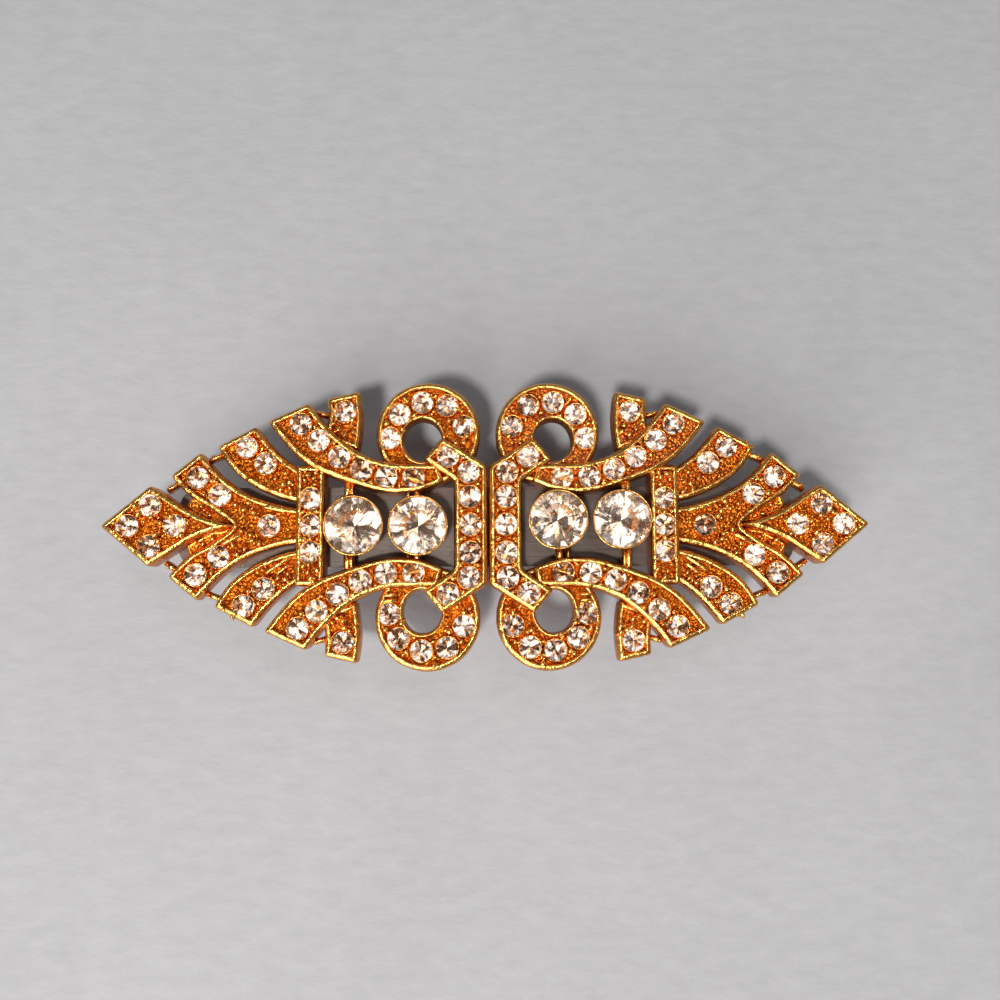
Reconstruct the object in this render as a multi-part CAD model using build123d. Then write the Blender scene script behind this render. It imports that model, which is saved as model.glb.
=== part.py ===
from build123d import *
import math
import os

# Rhinestone hair clip: two cast, stone-set openwork halves soldered side by side on a steel
# barrette bar, with a sprung clasp behind.  Millimetres.  +X runs along the clip, +Z is the
# show face, and the origin is on the ground under the middle of the closed clasp arm.

# ---- Clasp: heights from the ground up ----
ARM_THICKNESS = 0.6
HAIR_GAP = 4.6
SPRING_THICKNESS = 0.3
SPRING_RISE = 2.8
BAR_THICKNESS = 0.8

# ---- Clasp: lengths and widths ----
BAR_LENGTH = 62.0
BAR_WIDTH = 8.0
HINGE_X = 28.0
HINGE_DROP = 1.5
PIN_RADIUS = 0.5
PIN_CLEARANCE = 0.04
EYE_WALL = 0.45
EAR_THICKNESS = 0.5
EAR_RADIUS = 1.2
ARM_WIDTH = 6.0
ARM_EYE_WIDTH = 4.8
ARM_SIDE_GAP = 0.15
ARM_FLAT_HALF = 18.0
ARM_END_LIFT = 4.3
ARM_TIP_X = 31.6
SPRING_WIDTH = 4.6
SPRING_HALF = 24.0
SPRING_FOOT = 2.2
RIVET_RADIUS = 0.55
RIVET_HEAD_RADIUS = 1.0
RIVET_HEAD_HEIGHT = 0.45
KEEPER_WALL = 0.4
KEEPER_GAP = 0.1

# ---- Catch ----
CATCH_X = 28.2
CATCH_LENGTH = 3.0
CATCH_SHEET = 0.4
LEG_SPREAD = 1.75
LEG_GAP = 0.05
LEG_TIP_Z = 1.4
HOOK_REACH = 0.55
HOOK_HEIGHT = 0.8
HOOK_GAP = 0.1
WINDOW_LENGTH = 4.2
WINDOW_SIDE_GAP = 0.2
PAD_FLARE = 0.45

# ---- Castings: heights of each ribbon's rim above the bar ----
LEAF_HEIGHT = 2.2
LOOP_HEIGHT = 2.35
OUTER_STRIP_HEIGHT = 2.55
TIP_HEIGHT = 2.75
SASH_HEIGHT = 2.8
STRIP_HEIGHT = 3.1
WEB_HEIGHT = 1.3
RIM_WIDTH = 0.42
TRAY_DEPTH = 0.42
SEAM_GAP = 0.1
INSET_SPANS = 12
BEAD_RADIUS = 0.24
BEAD_OFFSET = 0.78

# ---- Small stones ----
STONE_DIAMETER = 2.16
STONE_TABLE = 0.56
STONE_CROWN = 0.3
STONE_GIRDLE = 0.06
STONE_PAVILION = 0.82
STONE_SINK = 0.1
SEAT_CLEARANCE = 0.03

# ---- Large stones and their cups ----
BIG_DIAMETER = 5.6
BIG_TABLE = 0.55
BIG_CROWN = 0.8
BIG_GIRDLE = 0.12
BIG_PAVILION = 2.15
BIG_GIRDLE_HEIGHT = 3.3
CUP_WALL = 0.18
CUP_LIP = 0.18
CUP_HOLE_RADIUS = 0.7
POST_WIDTH = 1.1
POST_HEIGHT = 1.5
POST_BITE = 0.3
INNER_CUP_X = 6.9
OUTER_CUP_X = 13.2
RIGHT_CUP_Y = 0.45
LEFT_CUP_Y = -0.1

# ---- Plan of the upper right quarter: the other three are its mirror images ----
LOOP_CENTRE = (5.95, 9.15)
LOOP_RADIUS = 5.2
LOOP_HOLE_CENTRE = (6.5, 8.5)
LOOP_HOLE_RADIUS = 1.9
LOOP_STONES = [(9.75, 8.7), (8.8, 11.1), (6.55, 12.3), (4.05, 12.0), (2.4, 9.9)]

STRIP_WIDTH = 3.4
STRIP_SHOULDER = 5.9
CHEVRON_TIP = (4.5, 8.75)
CHEVRON_CORNER = (6.45, 6.45)
CHEVRON_INSIDE = 4.35
STRIP_STONES = [(1.8, 2.75), (1.9, 5.2), (3.95, 6.75)]
STRIP_MIDDLE_STONE = (1.75, 0.0)

SASH_OUTER = [(4.9, 6.1), (7.1, 6.15), (8.7, 6.15), (10.6, 6.45)]
SASH_OUTER += [(12.6, 7.2), (14.8, 8.8), (16.4, 10.45), (17.75, 12.25)]
SASH_INNER = [(21.9, 10.35), (19.4, 7.3), (17.7, 5.9), (15.5, 4.8), (12.8, 3.85)]
SASH_INNER += [(10.6, 3.25), (8.7, 3.1), (6.8, 3.3), (4.3, 4.25)]
SASH_STONES = [(7.35, 4.7), (10.05, 4.75), (12.5, 5.5), (14.7, 6.75), (16.75, 8.4), (18.55, 10.05)]

OUTER_STRIP_INSIDE = 16.05
OUTER_STRIP_OUTSIDE = 19.0
OUTER_STRIP_HALF = 6.0
OUTER_STRIP_STONE = (17.5, 2.65)

SHORT_LEAF_LEFT = [(12.9, 7.4), (12.5, 10.6), (12.8, 13.55)]
SHORT_LEAF_RIGHT = [(16.1, 12.8), (16.0, 10.7), (16.4, 8.7)]
SHORT_LEAF_STONES = [(14.25, 11.4)]

LONG_LEAF_OUTER = [(17.6, 5.05), (19.15, 5.95), (21.05, 7.55), (23.1, 10.0)]
LONG_LEAF_INNER = [(26.9, 7.95), (25.6, 5.85), (24.1, 4.5), (22.4, 3.5), (20.2, 2.65), (17.6, 2.1)]
LONG_LEAF_STONES = [(22.05, 6.2), (23.95, 7.85)]

FAN_OUTER = [(17.6, 1.65), (19.6, 1.9), (21.8, 2.45), (23.6, 3.15), (25.2, 4.1), (26.8, 5.45), (28.5, 7.4)]
FAN_INNER = [(31.5, 5.0), (30.3, 3.65), (29.1, 2.65), (27.2, 1.5), (25.2, 0.0)]
FAN_STONES = [(26.5, 3.05), (28.7, 4.8)]
FAN_ROOT_STONE = (21.6, 0.0)

WEB = [(24.6, 0.0), (27.0, 1.9), (29.5, 3.3), (30.1, 1.8), (27.4, 0.3)]

TIP_ROOT = (24.9, 0.0)
TIP_SIDES = [(27.2, 0.65), (29.4, 1.6), (31.4, 2.9)]
TIP_CORNER = (33.2, 4.05)
TIP_POINT = (38.05, 0.0)
TIP_SIDE_STONE = (33.15, 2.0)
TIP_AXIS_STONES = [(30.7, 0.0), (35.3, 0.0)]

# ---- Levels that follow from the sizes above ----
SPRING_LOW = ARM_THICKNESS + HAIR_GAP
BAR_BOTTOM = SPRING_LOW + SPRING_THICKNESS + SPRING_RISE
BACK = BAR_BOTTOM + BAR_THICKNESS
HINGE_Z = BAR_BOTTOM - HINGE_DROP
EYE_RADIUS = PIN_RADIUS + PIN_CLEARANCE + EYE_WALL
EAR_INSIDE = ARM_EYE_WIDTH / 2 + ARM_SIDE_GAP
WINDOW_HALF = LEG_SPREAD + CATCH_SHEET / 2 + WINDOW_SIDE_GAP


def slab(face, bottom, top):
    """A solid with the plan `face`, between two heights."""
    return extrude(Pos(0, 0, bottom) * face, top - bottom)


def ribbon_face(outer, inner):
    """A plan between two curved sides joined by straight ends."""
    near = Spline(*outer)
    far = Spline(*inner)
    ends = [Line(near @ 1, far @ 0), Line(far @ 1, near @ 0)]
    return make_face([near, ends[0], far, ends[1]])


def redrawn(edge):
    """The same edge, with an offset curve drawn again as a spline through points on it."""
    if edge.geom_type in (GeomType.LINE, GeomType.CIRCLE):
        return edge
    points = [edge @ (i / INSET_SPANS) for i in range(INSET_SPANS + 1)]
    return Spline(*points, tangents=[edge % 0, edge % 1])


def inset(face):
    """The plan of a tray's floor, inside its rim."""
    shrunk = offset(face, -RIM_WIDTH, kind=Kind.ARC).face()
    outline = make_face([redrawn(edge) for edge in shrunk.outer_wire().edges()])
    holes = [make_face(hole.edges()) for hole in shrunk.inner_wires()]
    return outline - holes if holes else outline


def sunk(face, floor, height):
    """A solid band whose top is sunk over the floor's plan."""
    return slab(face, BACK, BACK + height) - slab(floor, BACK + height - TRAY_DEPTH, BACK + height)


def tray(face, height):
    """A cast ribbon: a solid band whose top is sunk inside a raised rim."""
    return sunk(face, inset(face), height)


def mirrored(shape):
    """The shape together with its mirror image in the clip's long axis."""
    return shape + mirror(shape, Plane.XZ)


# ---- Plans ----
def loop_face():
    return Pos(*LOOP_CENTRE) * Circle(LOOP_RADIUS) - Pos(*LOOP_HOLE_CENTRE) * Circle(LOOP_HOLE_RADIUS)


def strip_face():
    """The centre ribbon, with a chevron folded outward at its upper and lower end."""
    inside = SEAM_GAP / 2
    upper = [
        (inside, STRIP_SHOULDER),
        CHEVRON_TIP,
        CHEVRON_CORNER,
        (STRIP_WIDTH, CHEVRON_INSIDE),
    ]
    lower = [(x, -y) for x, y in reversed(upper)]
    return make_face(Polyline(*upper, *lower, close=True))


def outer_strip_face():
    width = OUTER_STRIP_OUTSIDE - OUTER_STRIP_INSIDE
    middle = (OUTER_STRIP_OUTSIDE + OUTER_STRIP_INSIDE) / 2
    return Pos(middle, 0) * Rectangle(width, 2 * OUTER_STRIP_HALF)


def fan_half(low):
    """One middle leaf with its share of the field behind the outer strip, down to y = low."""
    near = Spline(*FAN_OUTER)
    far = Spline(*FAN_INNER)
    root = FAN_OUTER[0][0]
    base = Polyline(far @ 1, (FAN_INNER[-1][0], low), (root, low), near @ 0)
    return make_face([near, Line(near @ 1, far @ 0), far, *base.edges()])


def fan_face():
    """The two middle leaves and the field that joins them."""
    below = Pos(0, -BAR_WIDTH / 2) * Rectangle(BAR_LENGTH * 2, BAR_WIDTH)
    return mirrored(fan_half(-1.0) - below)


def fan_floor():
    """The fan's sunk plan, open across the long axis."""
    below = Pos(0, -BAR_WIDTH / 2) * Rectangle(BAR_LENGTH * 2, BAR_WIDTH)
    return mirrored(inset(fan_half(-1.0)) - below)


def tip_face():
    side = Spline(TIP_ROOT, *TIP_SIDES, TIP_CORNER)
    half = make_face([side, Line(side @ 1, TIP_POINT), Line(TIP_POINT, side @ 0)])
    return mirrored(half)


def web_face():
    """The low web that ties the tip to the middle leaf beside it."""
    return make_face(Polyline(*WEB, close=True))


# ---- Where the stones sit: (x, y, height of the rim round them) ----
def both_sides(points):
    """The points and their mirror images below the long axis."""
    return [(x, y) for x, y in points] + [(x, -y) for x, y in points]


def leaf_stones():
    return SHORT_LEAF_STONES + LONG_LEAF_STONES + FAN_STONES


def flip(points):
    return [(x, -y) for x, y in points]


def strip_chain():
    """The centre ribbon's stones in order, from one chevron to the other."""
    return flip(STRIP_STONES)[::-1] + [STRIP_MIDDLE_STONE] + STRIP_STONES


def outer_chain():
    x, y = OUTER_STRIP_STONE
    return [(x, -y), (x, 0.0), (x, y)]


def stone_groups():
    """Each group of stones on the right half: name, rim height, points."""
    tip = TIP_AXIS_STONES + both_sides([TIP_SIDE_STONE])
    return [
        ("upper_loop_stones", LOOP_HEIGHT, LOOP_STONES),
        ("lower_loop_stones", LOOP_HEIGHT, flip(LOOP_STONES)),
        ("centre_strip_stones", STRIP_HEIGHT, strip_chain()),
        ("upper_sash_stones", SASH_HEIGHT, SASH_STONES),
        ("lower_sash_stones", SASH_HEIGHT, flip(SASH_STONES)),
        ("outer_strip_stones", OUTER_STRIP_HEIGHT, outer_chain()),
        ("upper_leaf_stones", LEAF_HEIGHT, leaf_stones()),
        ("lower_leaf_stones", LEAF_HEIGHT, flip(leaf_stones())),
        ("fan_root_stone", LEAF_HEIGHT, [FAN_ROOT_STONE]),
        ("tip_stones", TIP_HEIGHT, tip),
    ]


# ---- Stones ----
def turned(profile):
    """A solid of revolution about Z from (radius, height) points."""
    face = make_face(Polyline(*[(r, 0, z) for r, z in profile], close=True))
    return revolve(face, Axis.Z)


def brilliant(diameter, table, crown, girdle, pavilion):
    """A round stone about Z with the top of its girdle at height 0."""
    radius = diameter / 2
    outline = [
        (0, crown),
        (table * radius, crown),
        (radius, 0),
        (radius, -girdle),
        (0, -girdle - pavilion),
    ]
    return turned(outline)


def small_stone():
    return brilliant(STONE_DIAMETER, STONE_TABLE, STONE_CROWN, STONE_GIRDLE, STONE_PAVILION)


def small_seat():
    """The space a small stone takes, with its clearance, open to the top."""
    radius = STONE_DIAMETER / 2 + SEAT_CLEARANCE
    depth = STONE_GIRDLE + STONE_PAVILION + 2 * SEAT_CLEARANCE
    return turned([(0, 1), (radius, 1), (radius, -STONE_GIRDLE - SEAT_CLEARANCE), (0, -depth)])


def placed(shape, height, points):
    """Copies of a shape at the stones' level on a rim of this height."""
    level = BACK + height - STONE_SINK
    return [Pos(x, y, level) * shape for x, y in points]


def bead_points(chain):
    """Two grains beside the middle of each step from stone to stone."""
    points = []
    for (x1, y1), (x2, y2) in zip(chain, chain[1:]):
        step = math.hypot(x2 - x1, y2 - y1)
        across = (-(y2 - y1) / step * BEAD_OFFSET, (x2 - x1) / step * BEAD_OFFSET)
        middle = ((x1 + x2) / 2, (y1 + y2) / 2)
        points += [(middle[0] + s * across[0], middle[1] + s * across[1]) for s in (-1, 1)]
    return points


def beads(height, chain):
    """Grains raised from the tray's floor to hold the stones of one ribbon."""
    level = BACK + height - TRAY_DEPTH
    grain = Pos(0, 0, TRAY_DEPTH / 2) * Cylinder(BEAD_RADIUS, TRAY_DEPTH)
    return [Pos(x, y, level) * grain for x, y in bead_points(chain)]


# ---- Castings ----
def plain_casting():
    """The right half's ribbons, each cut away where a higher one lies over it."""
    sashes = mirrored(ribbon_face(SASH_OUTER, SASH_INNER))
    strip = strip_face()
    outer = outer_strip_face()
    short_leaves = mirrored(ribbon_face(SHORT_LEAF_LEFT, SHORT_LEAF_RIGHT))
    long_leaves = mirrored(ribbon_face(LONG_LEAF_OUTER, LONG_LEAF_INNER))
    tip = tip_face()
    ceiling = BACK + STRIP_HEIGHT + 1
    over_loops = slab(sashes, BACK, ceiling) + slab(strip, BACK, ceiling)
    over_leaves = slab(sashes, BACK, ceiling) + slab(outer, BACK, ceiling)
    low = [mirrored(tray(loop_face(), LOOP_HEIGHT)) - over_loops]
    low.append((both(short_leaves, LEAF_HEIGHT) + both(long_leaves, LEAF_HEIGHT)) - over_leaves)
    low.append(sunk(fan_face(), fan_floor(), LEAF_HEIGHT) - over_leaves - slab(tip, BACK, ceiling))
    low.append(tray(outer, OUTER_STRIP_HEIGHT) - slab(sashes, BACK, ceiling))
    high = [both(sashes, SASH_HEIGHT) - slab(strip, BACK, ceiling), tray(strip, STRIP_HEIGHT)]
    high.append(tray(tip, TIP_HEIGHT))
    low.append(mirrored(slab(web_face(), BACK, BACK + WEB_HEIGHT)))
    body = low[0]
    for piece in low[1:] + high:
        body += piece
    return body


def both(faces, height):
    """Trays on each separate face of a mirrored pair."""
    pieces = [tray(face, height) for face in faces.faces()]
    return pieces[0] + pieces[1:]


def right_casting():
    """The whole right half with its grains and stone seats."""
    body = plain_casting()
    grains = []
    seats = []
    for name, height, points in stone_groups():
        seats += placed(small_seat(), height, points)
        if len(points) > 2 and "leaf" not in name and "tip" not in name:
            grains += beads(height, points)
    return (body - seats) + grains


# ---- Large stones ----
def cup_places():
    """Each large stone: name, x, y."""
    return [
        ("left_outer", -OUTER_CUP_X, LEFT_CUP_Y),
        ("left_inner", -INNER_CUP_X, LEFT_CUP_Y),
        ("right_inner", INNER_CUP_X, RIGHT_CUP_Y),
        ("right_outer", OUTER_CUP_X, RIGHT_CUP_Y),
    ]


def large_stone():
    return brilliant(BIG_DIAMETER, BIG_TABLE, BIG_CROWN, BIG_GIRDLE, BIG_PAVILION)


def plain_cup():
    """A turned cup that holds a large stone under its girdle and at its lip."""
    radius = BIG_DIAMETER / 2
    slope = BIG_PAVILION / radius
    inner = radius + SEAT_CLEARANCE
    outer = inner + CUP_WALL
    low = -BIG_GIRDLE - SEAT_CLEARANCE
    hole_z = low - (inner - CUP_HOLE_RADIUS) * slope
    outline = [
        (inner, CUP_LIP),
        (outer, CUP_LIP),
        (outer, low),
        (CUP_HOLE_RADIUS + CUP_WALL, hole_z),
        (CUP_HOLE_RADIUS, hole_z),
        (inner, low),
    ]
    return turned(outline)


def sash_inner_edge(x):
    """How far from the long axis the sash's inner edge runs at this x."""
    points = sorted(SASH_INNER)
    for (x1, y1), (x2, y2) in zip(points, points[1:]):
        if x1 <= x <= x2:
            return y1 + (y2 - y1) * (x - x1) / (x2 - x1)
    return points[-1][1]


def cup_with_posts(x, y, casting):
    """One cup and the two posts that reach from it to the sashes beside it."""
    level = BACK + BIG_GIRDLE_HEIGHT
    top = BACK + SASH_HEIGHT - TRAY_DEPTH
    reach = sash_inner_edge(abs(x)) + POST_BITE
    bar = Pos(x, 0, top - POST_HEIGHT / 2) * Box(POST_WIDTH, 2 * reach, POST_HEIGHT)
    hollow = Pos(x, y, level - BIG_GIRDLE) * turned(
        [(0, 1), (BIG_DIAMETER / 2, 1), (BIG_DIAMETER / 2, 0), (0, -BIG_PAVILION - CUP_WALL)]
    )
    cup = Pos(x, y, level) * plain_cup()
    return cup + (bar - hollow - casting)


# ---- Clasp ----
def ear(side):
    """A rounded lug bent down from the bar's edge to carry the hinge pin."""
    inside = side * (EAR_INSIDE + EAR_THICKNESS / 2)
    lug = Cylinder(EAR_RADIUS, EAR_THICKNESS, rotation=(90, 0, 0))
    neck = Pos(0, 0, HINGE_DROP / 2) * Box(2 * EAR_RADIUS, EAR_THICKNESS, HINGE_DROP)
    return Pos(-HINGE_X, inside, HINGE_Z) * (lug + neck)


def keeper():
    """The bridge under the bar in which the free end of the bow spring slides."""
    inside_width = SPRING_WIDTH + 2 * KEEPER_GAP
    inside_height = SPRING_THICKNESS + KEEPER_GAP
    length = SPRING_FOOT / 2
    outer = Box(length, inside_width + 2 * KEEPER_WALL, inside_height + KEEPER_WALL)
    inner = Pos(0, 0, KEEPER_WALL / 2) * Box(length, inside_width, inside_height)
    centre_z = BAR_BOTTOM - (inside_height + KEEPER_WALL) / 2
    return Pos(SPRING_HALF + SPRING_FOOT / 2, 0, centre_z) * (outer - inner)


def rivet_x():
    return -(SPRING_HALF + SPRING_FOOT / 2)


def barrette_bar():
    """The steel bar with its hinge lugs, spring keeper and rivet holes."""
    plan = RectangleRounded(BAR_LENGTH, BAR_WIDTH, BAR_WIDTH / 4)
    bar = slab(plan, BAR_BOTTOM, BACK) + [ear(-1), ear(1), keeper()]
    pin_hole = Pos(-HINGE_X, 0, HINGE_Z) * Cylinder(PIN_RADIUS, BAR_WIDTH, rotation=(90, 0, 0))
    holes = [Pos(x, 0, BACK) * Cylinder(RIVET_RADIUS, 4 * BAR_THICKNESS) for x in (rivet_x(), CATCH_X)]
    return bar - pin_hole - holes


def rivet(x, sheet):
    """A round-headed rivet up through a sheet and the bar, flush with the bar's top."""
    head_top = BAR_BOTTOM - sheet
    shank = Pos(x, 0, (head_top + BACK) / 2) * Cylinder(RIVET_RADIUS, BACK - head_top)
    head = turned(
        [
            (0, 0),
            (RIVET_HEAD_RADIUS, 0),
            (RIVET_HEAD_RADIUS * 0.8, -RIVET_HEAD_HEIGHT * 0.6),
            (RIVET_HEAD_RADIUS * 0.4, -RIVET_HEAD_HEIGHT),
            (0, -RIVET_HEAD_HEIGHT),
        ]
    )
    return shank + Pos(x, 0, head_top) * head


def hinge_pin():
    length = 2 * (EAR_INSIDE + EAR_THICKNESS)
    return Pos(-HINGE_X, 0, HINGE_Z) * Cylinder(PIN_RADIUS, length, rotation=(90, 0, 0))


def strip_of(path, thickness, width):
    """A bent strip: a path in the XZ plane thickened downward and widened along Y."""
    under = Wire(path.edges()).offset_2d(thickness, side=Side.RIGHT, closed=True)
    return extrude(Face(under), width / 2, both=True)


def arm_path():
    """The top of the clasp arm, from its eye to its finger lip."""
    x_eye = -HINGE_X + EYE_RADIUS * 0.2
    top = ARM_THICKNESS
    end = ARM_END_LIFT + ARM_THICKNESS
    points = [
        (x_eye, 0, HINGE_Z - EYE_RADIUS + ARM_THICKNESS),
        (-HINGE_X + 2.4, 0, HINGE_Z - EYE_RADIUS + ARM_THICKNESS),
        (-ARM_FLAT_HALF - 2.6, 0, top),
        (ARM_FLAT_HALF + 2.6, 0, top),
        (CATCH_X - WINDOW_LENGTH / 2 - 1.3, 0, end),
        (ARM_TIP_X - 1.4, 0, end),
        (ARM_TIP_X, 0, end - 0.7),
    ]
    return FilletPolyline(*points, radius=1.0)


def clasp_arm():
    """The swinging arm: eye, bowed strip, flat middle and the end window for the catch."""
    strip = strip_of(arm_path(), ARM_THICKNESS, ARM_WIDTH)
    lowest = HINGE_Z - EYE_RADIUS - 0.2
    trim = Pos(-HINGE_X + 0.2, 0, HINGE_Z) * Box(4.4, ARM_WIDTH + 1, 2 * (HINGE_Z - lowest))
    tongue = Pos(-HINGE_X + 0.2, 0, HINGE_Z) * Box(4.4, ARM_EYE_WIDTH, 2 * (HINGE_Z - lowest))
    eye = Pos(-HINGE_X, 0, HINGE_Z) * Cylinder(EYE_RADIUS, ARM_EYE_WIDTH, rotation=(90, 0, 0))
    bore = Pos(-HINGE_X, 0, HINGE_Z) * Cylinder(PIN_RADIUS + PIN_CLEARANCE, BAR_WIDTH, rotation=(90, 0, 0))
    window = Pos(CATCH_X, 0, ARM_END_LIFT) * Box(WINDOW_LENGTH, 2 * WINDOW_HALF, 4 * ARM_THICKNESS)
    return (strip - trim) + (strip & tongue) + eye - bore - window


def bow_spring():
    """The arched strip that presses the hair; riveted at one end and sliding at the other."""
    top = BAR_BOTTOM
    left = Line((-SPRING_HALF - SPRING_FOOT, 0, top), (-SPRING_HALF, 0, top))
    crown = top - SPRING_RISE
    bend = ThreePointArc((-SPRING_HALF, 0, top), (0, 0, crown), (SPRING_HALF, 0, top))
    right = Line((SPRING_HALF, 0, top), (SPRING_HALF + SPRING_FOOT, 0, top))
    strip = strip_of(Wire([left.edge(), bend.edge(), right.edge()]), SPRING_THICKNESS, SPRING_WIDTH)
    hole = Pos(rivet_x(), 0, top) * Cylinder(RIVET_RADIUS, 4 * SPRING_THICKNESS)
    return strip - hole


def catch_base():
    """The flat middle of the spring-steel catch, riveted under the bar."""
    half = LEG_SPREAD - CATCH_SHEET / 2 - LEG_GAP
    plate = Pos(CATCH_X, 0, BAR_BOTTOM - CATCH_SHEET / 2) * Box(CATCH_LENGTH, 2 * half, CATCH_SHEET)
    return plate - Pos(CATCH_X, 0, BAR_BOTTOM) * Cylinder(RIVET_RADIUS, 4 * CATCH_SHEET)


def catch_leg(side):
    """One springing leg: round root, hook under the arm's window, finger pad at its tip."""
    half = CATCH_SHEET / 2
    root = BAR_BOTTOM - CATCH_SHEET
    hook_top = ARM_END_LIFT - HOOK_GAP
    hook_low = hook_top - HOOK_HEIGHT
    outline = [
        (-half, root),
        (-half, LEG_TIP_Z + 1.0),
        (PAD_FLARE - half, LEG_TIP_Z),
        (PAD_FLARE + half, LEG_TIP_Z),
        (half, LEG_TIP_Z + 1.2),
        (half, hook_low),
        (half + HOOK_REACH, hook_top - 0.15),
        (half + HOOK_REACH, hook_top),
        (half, hook_top),
        (half, root),
    ]
    plan = make_face(Polyline(*[(0, y, z) for y, z in outline], close=True))
    blade = extrude(plan, CATCH_LENGTH / 2, dir=(1, 0, 0), both=True)
    crown = Pos(0, 0, root) * Cylinder(half, CATCH_LENGTH, rotation=(0, 90, 0))
    leg = Pos(CATCH_X, LEG_SPREAD, 0) * (blade + crown)
    return leg if side > 0 else mirror(leg, Plane.XZ)


def write(name, shape):
    if not isinstance(shape, Compound):
        shape = Compound(children=list(shape.solids()))
    export_step(shape, f"parts/{name}.step")


def main():
    os.makedirs("parts", exist_ok=True)
    casting = right_casting()
    left = mirror(casting, Plane.YZ)
    write("right_casting", casting)
    write("left_casting", left)
    for name, height, points in stone_groups():
        group = Compound(children=placed(small_stone(), height, points))
        write(f"right_{name}", group)
        write(f"left_{name}", mirror(group, Plane.YZ))
    for name, x, y in cup_places():
        write(f"{name}_cup", cup_with_posts(x, y, casting if x > 0 else left))
        write(f"{name}_crystal", Pos(x, y, BACK + BIG_GIRDLE_HEIGHT) * large_stone())
    write("barrette_bar", barrette_bar())
    write("hinge_pin", hinge_pin())
    write("clasp_arm", clasp_arm())
    write("bow_spring", bow_spring())
    write("spring_rivet", rivet(rivet_x(), SPRING_THICKNESS))
    write("catch_base", catch_base())
    write("catch_rivet", rivet(CATCH_X, CATCH_SHEET))
    write("catch_leg_front", catch_leg(-1))
    write("catch_leg_back", catch_leg(1))


main()
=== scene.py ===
"""Looks for a stone-set hair clip: two gilt openwork castings over a sprung steel barrette."""

import logging
import math
import random
from dataclasses import dataclass, field
from enum import Enum
from typing import Any, Iterable, Optional, Sequence, Union

import bpy
import numpy as np
from mathutils import Matrix, Vector, noise
from mathutils.geometry import tessellate_polygon


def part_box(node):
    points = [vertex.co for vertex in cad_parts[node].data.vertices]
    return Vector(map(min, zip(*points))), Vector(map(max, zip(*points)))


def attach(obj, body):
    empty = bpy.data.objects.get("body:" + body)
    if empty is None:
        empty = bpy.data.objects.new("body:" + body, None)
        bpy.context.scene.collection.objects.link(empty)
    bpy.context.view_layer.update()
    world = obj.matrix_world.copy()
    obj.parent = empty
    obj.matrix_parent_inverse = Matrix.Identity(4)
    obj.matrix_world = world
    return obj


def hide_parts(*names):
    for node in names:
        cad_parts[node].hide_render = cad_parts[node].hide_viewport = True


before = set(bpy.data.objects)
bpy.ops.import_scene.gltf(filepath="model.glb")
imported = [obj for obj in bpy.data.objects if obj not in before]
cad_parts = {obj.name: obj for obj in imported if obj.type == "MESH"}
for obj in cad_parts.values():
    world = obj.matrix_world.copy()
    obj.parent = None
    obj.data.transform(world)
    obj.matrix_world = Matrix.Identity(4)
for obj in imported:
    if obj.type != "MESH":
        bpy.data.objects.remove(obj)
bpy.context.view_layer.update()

MM = 0.001
SPACING = 0.26  # mm between the points of an outline
HOLE_PACE = 0.62  # how fast a hole's rim grows inward, as a share of the outer rim's
BACK_INSET = 0.10  # mm that the castings' back edges are drawn in
FLOOR_INSET = 0.30  # mm that a sunk floor starts inside the outline, hidden under the rim
Point = tuple[float, float]
Triple = tuple[float, float, float]
Colour = Triple
Points = tuple[Point, ...]

log = logging.getLogger("hair_clip")


# ---------------------------------------------------------------- shader kit
class Wire:
    """One output socket, with arithmetic that adds Math nodes."""

    def __init__(self, shader: "Shader", socket: bpy.types.NodeSocket) -> None:
        """Wraps a socket of a shader."""
        self.shader = shader
        self.socket = socket

    def _math(self, operation: str, first: Any, second: Any) -> "Wire":
        """Adds one Math node."""
        return self.shader.node("ShaderNodeMath", {"operation": operation}, {0: first, 1: second})

    def __add__(self, other: Any) -> "Wire":
        """self + other."""
        return self._math("ADD", self, other)

    def __radd__(self, other: Any) -> "Wire":
        """other + self."""
        return self._math("ADD", other, self)

    def __sub__(self, other: Any) -> "Wire":
        """self - other."""
        return self._math("SUBTRACT", self, other)

    def __rsub__(self, other: Any) -> "Wire":
        """other - self."""
        return self._math("SUBTRACT", other, self)

    def __mul__(self, other: Any) -> "Wire":
        """self * other."""
        return self._math("MULTIPLY", self, other)

    def __rmul__(self, other: Any) -> "Wire":
        """other * self."""
        return self._math("MULTIPLY", other, self)


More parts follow.
